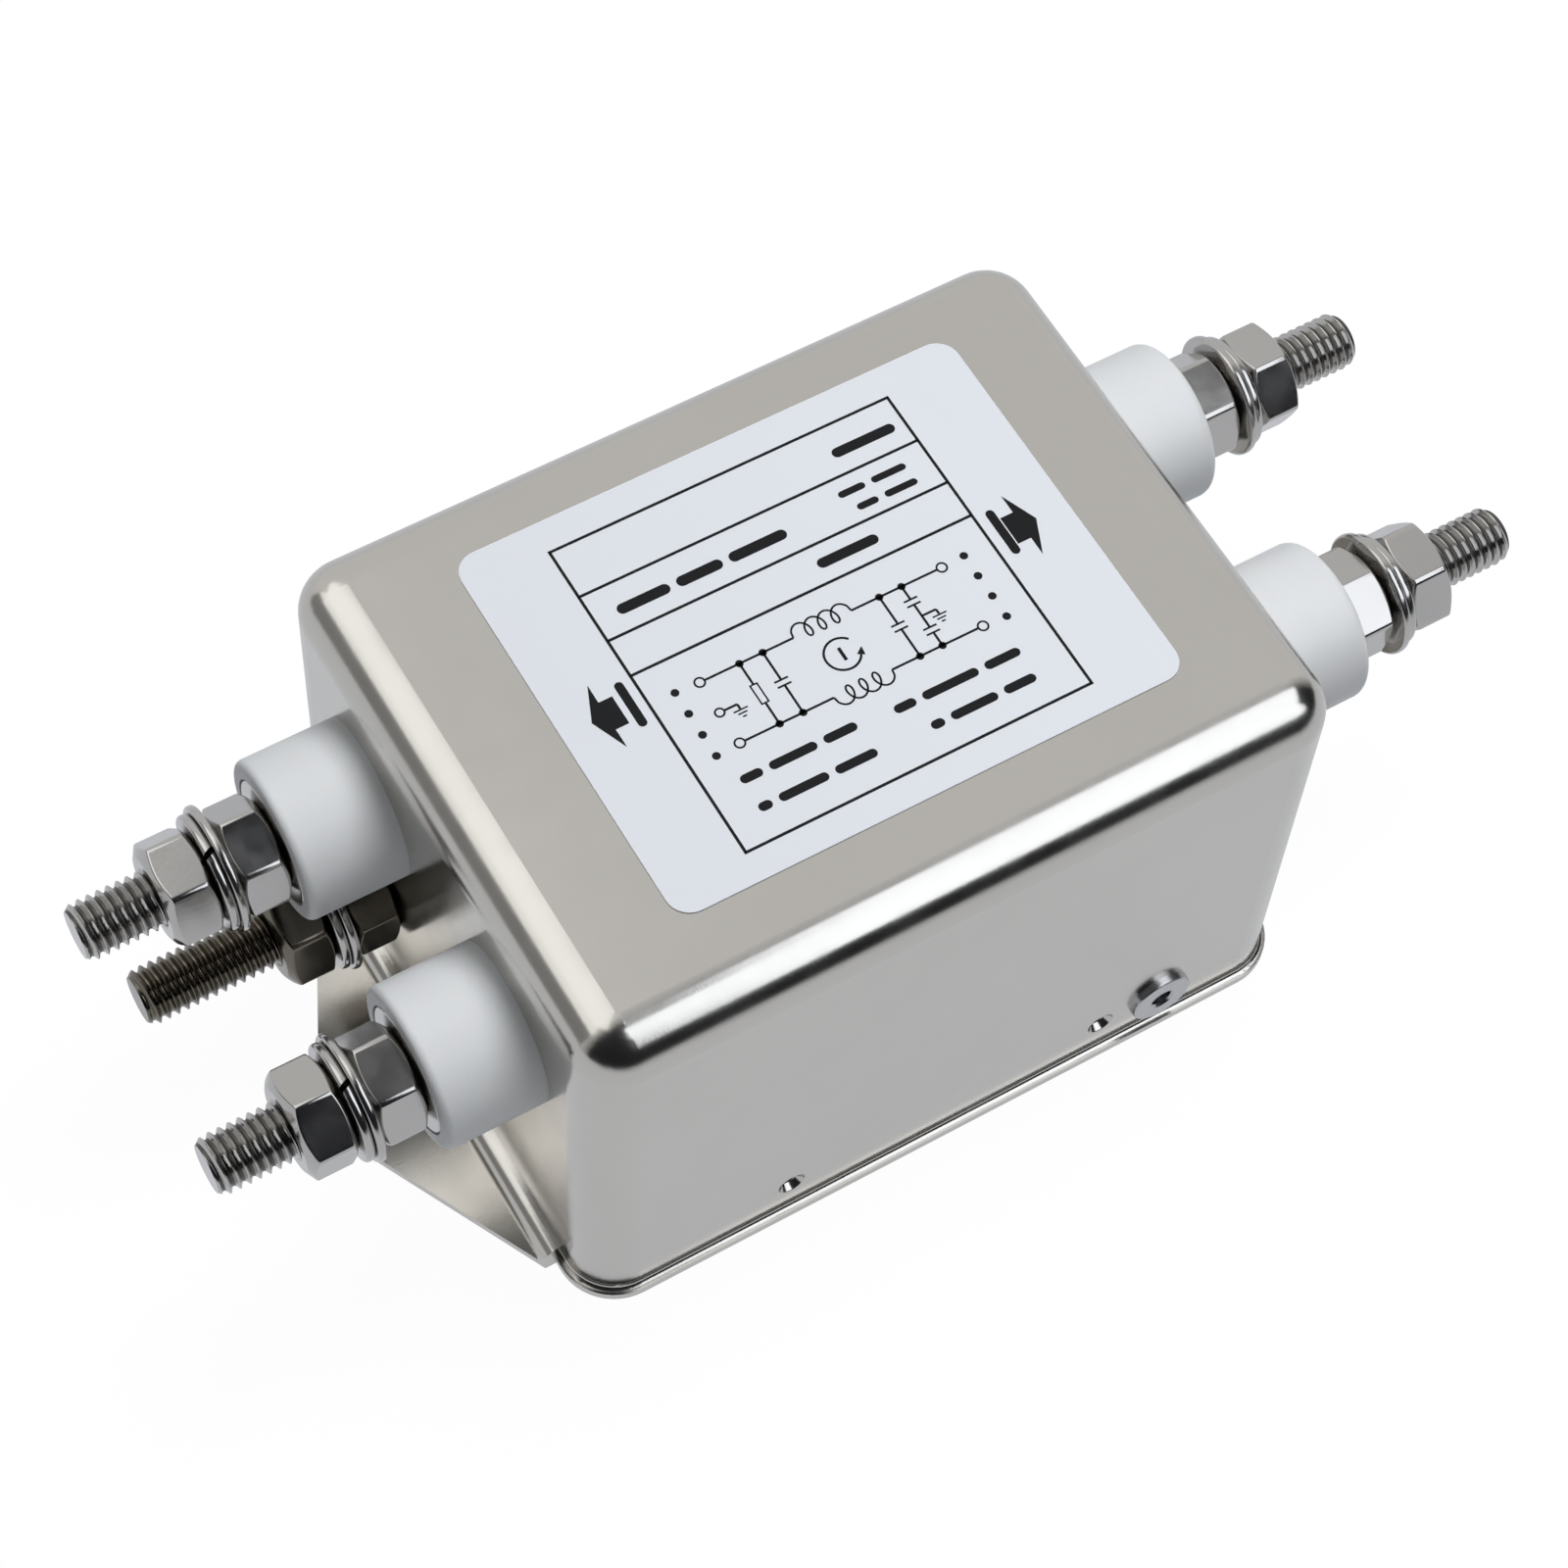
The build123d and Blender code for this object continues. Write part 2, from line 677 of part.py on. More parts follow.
with BuildPart() as bleeder_resistor:
    resistor_z = board_top + resistor_r
    lead_x = resistor_length / 2 + resistor_lead_reach
    with Locations(Location((resistor_x, resistor_y, resistor_z), (0, 90, 0))):
        Cylinder(radius=resistor_r, height=resistor_length)
    fillet(bleeder_resistor.edges().filter_by(GeomType.CIRCLE), radius=resistor_r / 3)
    with BuildLine(Plane.XZ.offset(-resistor_y)) as lead_path:
        FilletPolyline(
            (resistor_x - lead_x, board_top),
            (resistor_x - lead_x, resistor_z),
            (resistor_x + lead_x, resistor_z),
            (resistor_x + lead_x, board_top),
            radius=resistor_lead_bend_r,
        )
    with BuildSketch(Plane(origin=(resistor_x - lead_x, resistor_y, board_top))):
        Circle(resistor_lead_r)
    sweep(path=lead_path.wire())
save(bleeder_resistor.part, "bleeder_resistor")
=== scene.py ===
"""Line filter in a drawn steel can: finishes, fasteners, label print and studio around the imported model."""

import json
import logging
import math
from dataclasses import dataclass, field
from enum import Enum

import bmesh
import bpy
from bpy.types import Material, Node, NodeSocket, NodeTree, Object
from mathutils import Matrix, Vector


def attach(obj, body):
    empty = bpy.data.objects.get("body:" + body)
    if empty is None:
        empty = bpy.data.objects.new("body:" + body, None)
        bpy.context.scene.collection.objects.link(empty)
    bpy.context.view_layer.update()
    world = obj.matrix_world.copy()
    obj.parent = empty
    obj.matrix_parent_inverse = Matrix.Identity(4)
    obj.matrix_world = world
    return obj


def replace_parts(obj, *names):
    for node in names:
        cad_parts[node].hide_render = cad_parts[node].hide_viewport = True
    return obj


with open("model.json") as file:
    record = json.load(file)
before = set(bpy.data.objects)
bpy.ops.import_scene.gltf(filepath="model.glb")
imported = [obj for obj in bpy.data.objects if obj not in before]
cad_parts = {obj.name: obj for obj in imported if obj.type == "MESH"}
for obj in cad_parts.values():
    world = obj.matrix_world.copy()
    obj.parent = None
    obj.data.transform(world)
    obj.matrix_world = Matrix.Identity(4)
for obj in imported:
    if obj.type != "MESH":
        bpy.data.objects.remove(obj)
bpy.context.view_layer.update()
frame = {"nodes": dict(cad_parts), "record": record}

logging.basicConfig(level=logging.INFO, format="%(name)s: %(message)s")
log = logging.getLogger("line_filter")

MM = 0.001
ROOT = "root"
WHITE = (1.0, 1.0, 1.0)
Point = tuple[float, float, float]
Flat = tuple[float, float]
Colour = tuple[float, float, float]


class End(Enum):
    """The end of the can that a terminal stands out of."""

    LINE = -1
    LOAD = 1


class Row(Enum):
    """The front or back row of terminals."""

    FRONT = -1
    BACK = 1


def linear(red: int, green: int, blue: int) -> Colour:
    """Turns a colour as it shows on a screen into Blender's linear values.

    Args:
        red: Red from 0 to 255.
        green: Green from 0 to 255.
        blue: Blue from 0 to 255.

    Returns:
        The three linear values from 0 to 1.
    """
    shares = (value / 255 for value in (red, green, blue))
    return tuple(s / 12.92 if s <= 0.04045 else ((s + 0.055) / 1.055) ** 2.4 for s in shares)


def place(name: str, data: bpy.types.ID) -> Object:
    """Puts a new object into the scene.

    Args:
        name: The object's name.
        data: Its mesh, lamp or camera.

    Returns:
        The new object.
    """
    made = bpy.data.objects.new(name, data)
    bpy.context.scene.collection.objects.link(made)
    return made


def aim(made: Object, at: Point, towards: Point) -> None:
    """Moves an object and turns its front to a point, both in millimetres."""
    made.location = Vector(at) * MM
    made.rotation_euler = (Vector(towards) - Vector(at)).to_track_quat("-Z", "Y").to_euler()


# Shader node groups that several finishes share


class Tree:
    """A short way to place and wire shader nodes in one node tree."""

    def __init__(self, tree: NodeTree) -> None:
        """Keeps the tree that the nodes go into."""
        self.tree = tree

    def node(self, kind: str, **values: object) -> Node:
        """Adds a node and sets its properties.

        Args:
            kind: The node's type name, without a ShaderNode prefix.
            **values: Properties of the node by name.

        Returns:
            The new node.
        """
        made = self.tree.nodes.new(kind if kind.startswith("NodeGroup") else "ShaderNode" + kind)
        for name, value in values.items():
            setattr(made, name, value)
        return made

    def wire(self, start: NodeSocket, end: NodeSocket) -> None:
        """Links one socket to another."""
        self.tree.links.new(start, end)

    def glow(self, kind: str, colour: Colour, strength: float) -> Node:
        """Adds a shader that gives off light.

        Args:
            kind: Emission or Background.
            colour: Its colour.
            strength: Its strength.

        Returns:
            The shader node.
        """
        made = self.node(kind)
        made.inputs["Color"].default_value = (*colour, 1.0)
        made.inputs["Strength"].default_value = strength
        return made

    def mix(self, share: NodeSocket, first: NodeSocket, second: NodeSocket) -> NodeSocket:
        """Mixes two shaders by a share and gives the result's socket."""
        made = self.node("MixShader")
        for socket, end in zip((share, first, second), made.inputs):
            self.wire(socket, end)
        return made.outputs["Shader"]

    def noise(self, scale: NodeSocket, detail: float) -> NodeSocket:
        """Adds a noise texture on the object's own coordinates.

        Args:
            scale: The socket that gives its scale.
            detail: The noise's detail.

        Returns:
            The socket of its value.
        """
        made = self.node("TexNoise")
        made.inputs["Detail"].default_value = detail
        self.wire(self.node("TexCoord").outputs["Object"], made.inputs["Vector"])
        self.wire(scale, made.inputs["Scale"])
        return made.outputs["Fac"]

    def spread(self, value: NodeSocket, ends: Flat, low: object, high: object) -> NodeSocket:
        """Maps a value from one range to another.

        Args:
            value: The socket to map.
            ends: The range it comes in.
            low: The new lower end, a number or a socket.
            high: The new upper end, a number or a socket.

        Returns:
            The mapped value's socket.
        """
        made = self.node("MapRange")
        made.inputs["From Min"].default_value, made.inputs["From Max"].default_value = ends
        self.wire(value, made.inputs["Value"])
        for name, wanted in (("To Min", low), ("To Max", high)):
            if isinstance(wanted, (int, float)):
                made.inputs[name].default_value = wanted
            else:
                self.wire(wanted, made.inputs[name])
        return made.outputs["Result"]


def new_material(name: str) -> tuple[Material, Tree]:
    """Starts a material.

    Args:
        name: The material's name.

    Returns:
        The material and its tree, which holds a Principled BSDF and the output.
    """
    material = bpy.data.materials.new(name)
    material.use_nodes = True
    return material, Tree(material.node_tree)


def new_group(name: str, inputs: dict[str, object], output: str) -> tuple[Tree, Node, Node]:
    """Starts a shader node group with named inputs and one output.

    Args:
        name: The group's name.
        inputs: Input names with their default value, a number or a colour.
        output: The output's name, which is Colour if it gives one.

    Returns:
        The group's tree with its input and output nodes.
    """
    group = bpy.data.node_groups.new(name, "ShaderNodeTree")
    for label, value in inputs.items():
        kind = "NodeSocketColor" if label == "Colour" else "NodeSocketFloat"
        group.interface.new_socket(name=label, in_out="INPUT", socket_type=kind).default_value = value
    kind = "NodeSocketColor" if output == "Colour" else "NodeSocketFloat"
    group.interface.new_socket(name=output, in_out="OUTPUT", socket_type=kind)
    tree = Tree(group)
    return tree, tree.node("NodeGroupInput"), tree.node("NodeGroupOutput")


def mottle_group() -> NodeTree:
    """Builds the group that varies a value softly over a surface, for roughness."""
    tree, start, end = new_group("mottle", {"Scale": 300.0, "Low": 0.2, "High": 0.3}, "Value")
    noise = tree.noise(start.outputs["Scale"], 4.0)
    value = tree.spread(noise, (0.35, 0.65), start.outputs["Low"], start.outputs["High"])
    tree.wire(value, end.inputs["Value"])
    return tree.tree


def grain_group() -> NodeTree:
    """Builds the group that gives a fine surface height."""
    tree, start, end = new_group("fine_grain", {"Scale": 3000.0}, "Height")
    tree.wire(tree.noise(start.outputs["Scale"], 3.0), end.inputs["Height"])
    return tree.tree


def drift_group() -> NodeTree:
    """Builds the group that lets a colour drift a little lighter and darker over a surface."""
    inputs = {"Colour": (0.5, 0.5, 0.5, 1.0), "Scale": 60.0, "Amount": 0.05}
    tree, start, end = new_group("tone_drift", inputs, "Colour")
    noise = tree.noise(start.outputs["Scale"], 5.0)
    ends = []
    for operation in ("SUBTRACT", "ADD"):
        end_gain = tree.node("Math", operation=operation)
        end_gain.inputs[0].default_value = 1.0
        tree.wire(start.outputs["Amount"], end_gain.inputs[1])
        ends.append(end_gain.outputs["Value"])
    gain = tree.spread(noise, (0.3, 0.7), *ends)
    scaled = tree.node("VectorMath", operation="SCALE")
    tree.wire(start.outputs["Colour"], scaled.inputs[0])
    tree.wire(gain, scaled.inputs["Scale"])
    tree.wire(scaled.outputs["Vector"], end.inputs["Colour"])
    return tree.tree


GROUPS = {"mottle": mottle_group(), "fine_grain": grain_group(), "tone_drift": drift_group()}


@dataclass(frozen=True)
class Finish:
    """One surface finish, as sizes and colours of its procedural material."""

    name: str
    colour: Colour
    rough: tuple[float, float]
    metal: float = 0.0
    rough_scale: float = 250.0
    grain_scale: float = 3000.0
    grain_height: float = 0.000004
    drift_scale: float = 60.0
    drift: float = 0.03
    specular: float = 0.5
    coat: float = 0.0
    coat_rough: float = 0.1
    subsurface: float = 0.0

    def place_group(self, tree: Tree, name: str, **values: object) -> Node:
        """Places one shared group with this finish's values.

        Args:
            tree: The material's tree.
            name: The group's name.
            **values: Input values by name.

        Returns:
            The group node.
        """
        made = tree.node("Group", node_tree=GROUPS[name])
        for label, value in values.items():
            made.inputs[label].default_value = value
        return made

    def build(self) -> Material:
        """Builds the material.

        Returns:
            The material, ready to give to pieces.
        """
        material, tree = new_material(self.name)
        surface = material.node_tree.nodes["Principled BSDF"]
        for name, value in (
            ("Metallic", self.metal),
            ("Specular IOR Level", self.specular),
            ("Coat Weight", self.coat),
            ("Coat Roughness", self.coat_rough),
            ("Subsurface Weight", self.subsurface),
            ("Subsurface Scale", MM),
        ):
            surface.inputs[name].default_value = value
        colour = (*self.colour, 1.0)
        tone = self.place_group(tree, "tone_drift", Colour=colour, Scale=self.drift_scale, Amount=self.drift)
        tree.wire(tone.outputs["Colour"], surface.inputs["Base Color"])
        low, high = self.rough
        mottle = self.place_group(tree, "mottle", Scale=self.rough_scale, Low=low, High=high)
        tree.wire(mottle.outputs["Value"], surface.inputs["Roughness"])
        grain = self.place_group(tree, "fine_grain", Scale=self.grain_scale)
        bump = tree.node("Bump")
        bump.inputs["Distance"].default_value = self.grain_height
        bump.inputs["Strength"].default_value = 1.0
        tree.wire(grain.outputs["Height"], bump.inputs["Height"])
        tree.wire(bump.outputs["Normal"], surface.inputs["Normal"])
        return material


# Every finish of the filter, most by the name of the record's slot that wears it.
FINISHES: dict[str, Finish] = {
    "can": Finish("can_steel", linear(203, 200, 194), (0.17, 0.22), 1.0, drift=0.012),
    "cover": Finish("cover_steel", linear(196, 194, 190), (0.28, 0.36), 1.0),
    "fastener": Finish("fastener_steel", linear(190, 188, 185), (0.13, 0.2), 1.0, drift=0.03),
    # A darker, warmer copy of the fastener steel for the earth stud and nuts: painted shade, as they sit in
    # shadow.
    "earth": Finish("earth_fastener_painted_shade_steel", linear(116, 110, 100), (0.14, 0.22), 1.0, drift=0.04),
    # Darker steel for the thread roots: painted shade in the thread's grooves.
    "thread_root": Finish("thread_root_painted_shade_steel", linear(92, 90, 86), (0.3, 0.4), 1.0, drift=0.1),
    "rivet": Finish("rivet_aluminium", linear(190, 190, 190), (0.2, 0.3), 1.0),
    "insulator": Finish("bushing_plastic", linear(224, 227, 230), (0.4, 0.48), drift=0.008, subsurface=0.1),
    "label": Finish("label_film", linear(225, 229, 236), (0.5, 0.58), drift=0.004, grain_height=0.000002),
    "ink": Finish("label_ink", linear(12, 13, 16), (0.45, 0.55), drift=0.05, specular=0.25),
    "copper": Finish("tinned_copper", linear(214, 190, 170), (0.25, 0.4), 1.0, drift=0.08),
    "enamel_wire": Finish("enamelled_wire", linear(176, 92, 48), (0.22, 0.3), 1.0, coat=0.6, drift=0.08),
    "liner": Finish("liner_sheet", linear(232, 226, 205), (0.5, 0.6), drift=0.03),
    "spacer": Finish("spacer_nylon", linear(233, 232, 226), (0.4, 0.5), subsurface=0.1),
    "board": Finish("board_laminate", linear(38, 98, 54), (0.3, 0.42), coat=0.3, drift=0.1),
    "core": Finish("core_coating", linear(38, 42, 46), (0.35, 0.5), coat=0.2, drift=0.08),
    "choke_plastic": Finish("choke_plastic", linear(30, 30, 31), (0.4, 0.55), drift=0.06),
    "x_capacitor": Finish("x_capacitor_case", linear(226, 196, 62), (0.3, 0.4), drift=0.03),
    "y_capacitor": Finish("y_capacitor_coat", linear(44, 92, 168), (0.25, 0.36), coat=0.4, drift=0.06),
    "resistor": Finish("resistor_coat", linear(120, 156, 190), (0.28, 0.4), coat=0.4, drift=0.04),
}


# Meshes


class Shape:
    """Vertices and faces of one mesh, in millimetres."""

    def __init__(self) -> None:
        """Starts an empty shape."""
        self.points: list[Point] = []
        self.faces: list[tuple[int, ...]] = []
        self.layers: list[int] = []

    def join(self, points: list[Point], faces: list[tuple[int, ...]], layer: int = 0) -> None:
        """Adds a patch of points and faces.

        Args:
            points: The patch's points.
            faces: Faces as numbers of its own points.
            layer: Which of the piece's materials they wear.
        """
        start = len(self.points)
        self.points += points
        self.faces += [tuple(start + corner for corner in face) for face in faces]
        self.layers += [layer] * len(faces)

    def piece(self, name: str, materials: list[Material], slot: str, crisp: float = 35.0) -> Object:
        """Makes the object, welds its points and sets its shading.

        Args:
            name: The piece's name.
            materials: Its finishes, by layer.
            slot: The record's slot; not used.
            crisp: Angle in degrees above which an edge stays sharp.

        Returns:
            The new object, riding on the root body.
        """
        mesh = bpy.data.meshes.new(name)
        work = bmesh.new()
        corners = [work.verts.new([value * MM for value in point]) for point in self.points]
        for face, layer in zip(self.faces, self.layers):
            if len(set(face)) > 2:
                work.faces.new([corners[i] for i in face]).material_index = layer
        bmesh.ops.remove_doubles(work, verts=work.verts, dist=0.0005 * MM)
        bmesh.ops.dissolve_degenerate(work, edges=work.edges, dist=0.0005 * MM)
        loose = [vert for vert in work.verts if not vert.link_faces]
        bmesh.ops.delete(work, geom=loose, context="VERTS")
        bmesh.ops.recalc_face_normals(work, faces=work.faces)
        work.to_mesh(mesh)
        work.free()
        for material in materials:
            mesh.materials.append(material)
        mesh.shade_smooth()
        mesh.set_sharp_from_angle(angle=math.radians(crisp))
        made = place(name, mesh)
        weighted = made.modifiers.new("even_normals", "WEIGHTED_NORMAL")
        weighted.keep_sharp = True
        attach(made, ROOT)
        log.info("%s: %d faces", name, len(mesh.polygons))
        return made


@dataclass(frozen=True)
class Seat:
    """A place along a terminal's axis: an end of the can, a row and a height, at a reach from the middle."""

    end: End
    y: float
    z: float
    reach: float

    def at(self, along: float, radius: float, angle: float) -> Point:
        """Places a point by its distance along the axis, radius and angle.

        Args:
            along: Distance outward from the seat.
            radius: Distance from the axis.
            angle: Direction in radians, from +Y towards +Z.

        Returns:
            The point in the shared frame, in millimetres.
        """
        x = self.end.value * (self.reach + along)
        return (x, self.y + radius * math.cos(angle), self.z + radius * math.sin(angle))


def band(rings: int, count: int, closed: bool = True) -> list[tuple[int, ...]]:
    """Gives the faces between rings of points that follow one another.

    Args:
        rings: How many rings there are.
        count: How many points each ring has.
        closed: Whether the last ring joins the first.

    Returns:
        Faces as numbers of the points.
    """
    return [
        (
            ring * count + i,
            ring * count + (i + 1) % count,
            (ring + 1) % rings * count + (i + 1) % count,
            (ring + 1) % rings * count + i,
        )
        for ring in range(rings if closed else rings - 1)
        for i in range(count)
    ]


def lathe(shape: Shape, seat: Seat, profile: list[Flat]) -> None:
    """Turns a closed profile around a seat's axis.

    Args:
        shape: The shape to add to.
        seat: The axis and the place along it.
        profile: Points of (radius, along), in order around the section.
    """
    segments = 72
    angles = [math.tau * step / segments for step in range(segments)]
    points = [seat.at(along, radius, angle) for angle in angles for radius, along in profile]
    shape.join(points, band(segments, len(profile)))


def arc(x: float, y: float, radius: float, start: float, sweep: float, steps: int) -> list[Flat]:
    """Gives points along an arc, with both its ends.

    Args:
        x: Its middle along X.
        y: Its middle along Y.
        radius: Its radius.
        start: Start angle in degrees.
        sweep: Angle that it covers in degrees.
        steps: Steps from end to end.

    Returns:
        The points, in order.
    """
    angles = [math.radians(start + sweep * step / steps) for step in range(steps + 1)]
    return [(x + radius * math.cos(angle), y + radius * math.sin(angle)) for angle in angles]


def rounded_section(inner: float, outer: float, thickness: float, edge: float) -> list[Flat]:
    """Gives the section of a washer with all four edges rounded.

    Args:
        inner: Hole radius.
        outer: Outer radius.
        thickness: Thickness along the axis.
        edge: Radius of the rounded edges.

    Returns:
        Points of (radius, along) around the section.
    """
    corners = (
        (outer - edge, edge, -90),
        (outer - edge, thickness - edge, 0),
        (inner + edge, thickness - edge, 90),
        (inner + edge, edge, 180),
    )
    return [point for radius, along, start in corners for point in arc(radius, along, edge, start, 90, 3)]


@dataclass(frozen=True)
class HexNut:
    """An M6 nut, chamfered on both faces, with softly rounded corners."""

    apothem: float = 5.0
    thickness: float = 5.2
    face_r: float = 4.3
    bore_r: float = 2.75
    sink_r: float = 3.2
    chamfer: float = math.radians(30)
    half_facet: float = math.radians(30)
    corner_round: float = 0.62
    edge_round: float = 0.3
    edge_sweep: int = 60
    edge_steps: int = 3
    face_rim: tuple[Flat, ...] = ((-0.1, 0.0), (0.0, 0.013), (0.087, 0.05))
    facet_stations: tuple[float, ...] = (
        -30, -28.8, -27.5, -26.2, -24.8, -23.2, -16, -8, 0, 8, 16, 23.2, 24.8, 26.2, 27.5, 28.8
    )

    def outline(self, off_facet: float) -> float:
        """Gives the nut's outer radius at an angle from a facet's middle.

        Args:
            off_facet: Angle from the facet's middle, in radians, up to 30 degrees either way.

        Returns:
            The radius.
        """
        inset = self.apothem - self.corner_round
        if self.apothem * math.tan(abs(off_facet)) <= inset * math.tan(self.half_facet):
            return self.apothem / math.cos(off_facet)
        reach = inset / math.cos(self.half_facet)
        off_corner = self.half_facet - abs(off_facet)
        across = reach * math.sin(off_corner)
        return reach * math.cos(off_corner) + math.sqrt(self.corner_round**2 - across**2)

    def section(self, outer: float) -> list[Flat]:
        """Gives the closed section of the nut at one outer radius.

        Args:
            outer: The outer radius there.

        Returns:
            Points of (radius, along).
        """
        drop = (outer - self.face_r) * math.tan(self.chamfer)
        edge = self.thickness - drop
        centre = edge - self.edge_round * math.tan(math.radians(self.edge_sweep / 2))
        sink_start = self.thickness - (self.sink_r - self.bore_r)
        half = [(self.bore_r, self.thickness / 2), (self.bore_r, sink_start), (self.sink_r, self.thickness)]
        half += [(self.face_r + outward, self.thickness - down) for outward, down in self.face_rim]
        for step in range(self.edge_steps + 1):
            turn = math.radians(self.edge_sweep - self.edge_sweep // self.edge_steps * step)
            inset = self.edge_round * (1 - math.cos(turn))
            half.append((outer - inset, centre + self.edge_round * math.sin(turn)))
        return half + [(radius, self.thickness - along) for radius, along in reversed(half[1:])]

    def add(self, shape: Shape, seat: Seat, corner: float) -> None:
        """Adds the nut on a seat.

        Args:
            shape: The shape to add to.
            seat: Where its inner face lies.
            corner: Direction of one corner in degrees, from +Y towards +Z.
        """
        points: list[Point] = []
        rings = 6 * len(self.facet_stations)
        for facet in range(6):
            for station in self.facet_stations:
                section = self.section(self.outline(math.radians(station)))
                angle = math.radians(corner + 30 + 60 * facet + station)
                points += [seat.at(along, radius, angle) for radius, along in section]
        shape.join(points, band(rings, len(points) // rings))


@dataclass(frozen=True)
class Thread:
    """An M6 rolled thread with rounded roots, and the plain shank behind it; the roots wear a darker second
    material as painted shade.
    """

    pitch: float = 1.0
    crest_r: float = 2.98
    shank_r: float = 2.7
    tip_r: float = 2.42
    tip_length: float = 0.75
    steps: int = 40
    painted_shade_root_r: float = 2.56
    profile: tuple[Flat, ...] = (
        (0.0, 2.46), (0.09, 2.475), (0.17, 2.54), (0.25, 2.655), (0.33, 2.785), (0.4, 2.89), (0.45, 2.955),
        (0.5, 2.98), (0.55, 2.955), (0.6, 2.89), (0.67, 2.785), (0.75, 2.655), (0.83, 2.54), (0.91, 2.475),
    )

    def add(self, shape: Shape, seat: Seat, back: float, length: float) -> None:
        """Adds a stud whose threaded stretch starts at the seat.

        Args:
            shape: The shape to add to.
            seat: Where the thread starts.
            back: Length of plain shank behind the seat.
            length: Length of the threaded stretch to the tip.
        """
        count = len(self.profile)
        turns = math.ceil(length / self.pitch) + 2
        total = turns * self.steps
        points: list[Point] = []
        for step in range(total + self.steps + 1):
            angle = seat.end.value * math.tau * step / self.steps
            base = (step / self.steps - 1) * self.pitch
            for share, radius in self.profile:
                along = base + share * self.pitch
                inner = max(0.0, min(1.0, along / self.pitch))
                outer = self.tip_r + (length - along) * (self.crest_r - self.tip_r) / self.tip_length
                limited = min(self.shank_r + (radius - self.shank_r) * inner, max(self.tip_r, outer))
                points.append(seat.at(max(0.0, min(length, along)), limited, angle))
        flanks, roots = [], []
        for step in range(total):
            for i in range(count):
                near, far = step * count + i, (step + 1) * count + i
                beside = i + 1 if i + 1 < count else 0
                # Faces near the root go to the second, darker material: painted shade in the grooves.
                kind = flanks if max(self.profile[i][1], self.profile[beside][1]) > self.painted_shade_root_r else roots
                if beside:
                    kind.append((near, far, far + 1, near + 1))
                else:
                    next_turn = (step + self.steps) * count
                    kind.append((near, far, next_turn + count, next_turn))
        shape.join(points, flanks)
        shape.join(points, roots, 1)
        ring = range(self.steps)
        shape.join([seat.at(length, self.tip_r, math.tau * i / self.steps) for i in ring], [tuple(ring)])
        shape.join(
            [seat.at(-along, self.shank_r, math.tau * i / self.steps) for along in (0.0, back) for i in ring],
            band(2, self.steps, closed=False) + [tuple(self.steps + i for i in ring)],
        )


@dataclass(frozen=True)
class SpringWasher:
    """A split spring washer, clamped nearly flat, with a slanted slit."""

    inner_r: float = 3.2
    outer_r: float = 6.0
    thickness: float = 1.0
    edge: float = 0.38
    slit: float = 0.5
    slant: float = 20.0
    segments: int = 84

    def add(self, shape: Shape, seat: Seat, slit_at: float) -> None:
        """Adds the washer on a seat.

        Args:
            shape: The shape to add to.
            seat: Where its inner face lies.
            slit_at: Direction of the slit in degrees, from +Y towards +Z.
        """
        section = rounded_section(self.inner_r, self.outer_r, self.thickness, self.edge)
        count = len(section)
        half_gap = math.degrees(self.slit / 2 / ((self.inner_r + self.outer_r) / 2))
        lean = math.degrees(math.tan(math.radians(self.slant)) / ((self.inner_r + self.outer_r) / 2))
        points: list[Point] = []
        for step in range(self.segments + 1):
            share = step / self.segments
            bare = half_gap + (360 - 2 * half_gap) * share
            for radius, along in section:
                shear = lean * (along - self.thickness / 2)
                points.append(seat.at(along, radius, math.radians(slit_at + bare + shear)))
        ends = [tuple(range(count)), tuple(self.segments * count + i for i in range(count))]
        shape.join(points, band(self.segments + 1, count, closed=False) + ends)


# Sub-assemblies

# Direction of one corner of each terminal's seat nut and clamp nut, in degrees from +Y towards +Z.
NUT_TURNS: dict[tuple[End, Row], Flat] = {
    (End.LINE, Row.FRONT): (13.8, 40.3),
    (End.LINE, Row.BACK): (19.7, 8.4),
    (End.LOAD, Row.FRONT): (34.4, 4.6),
    (End.LOAD, Row.BACK): (13.9, 49.9),
}


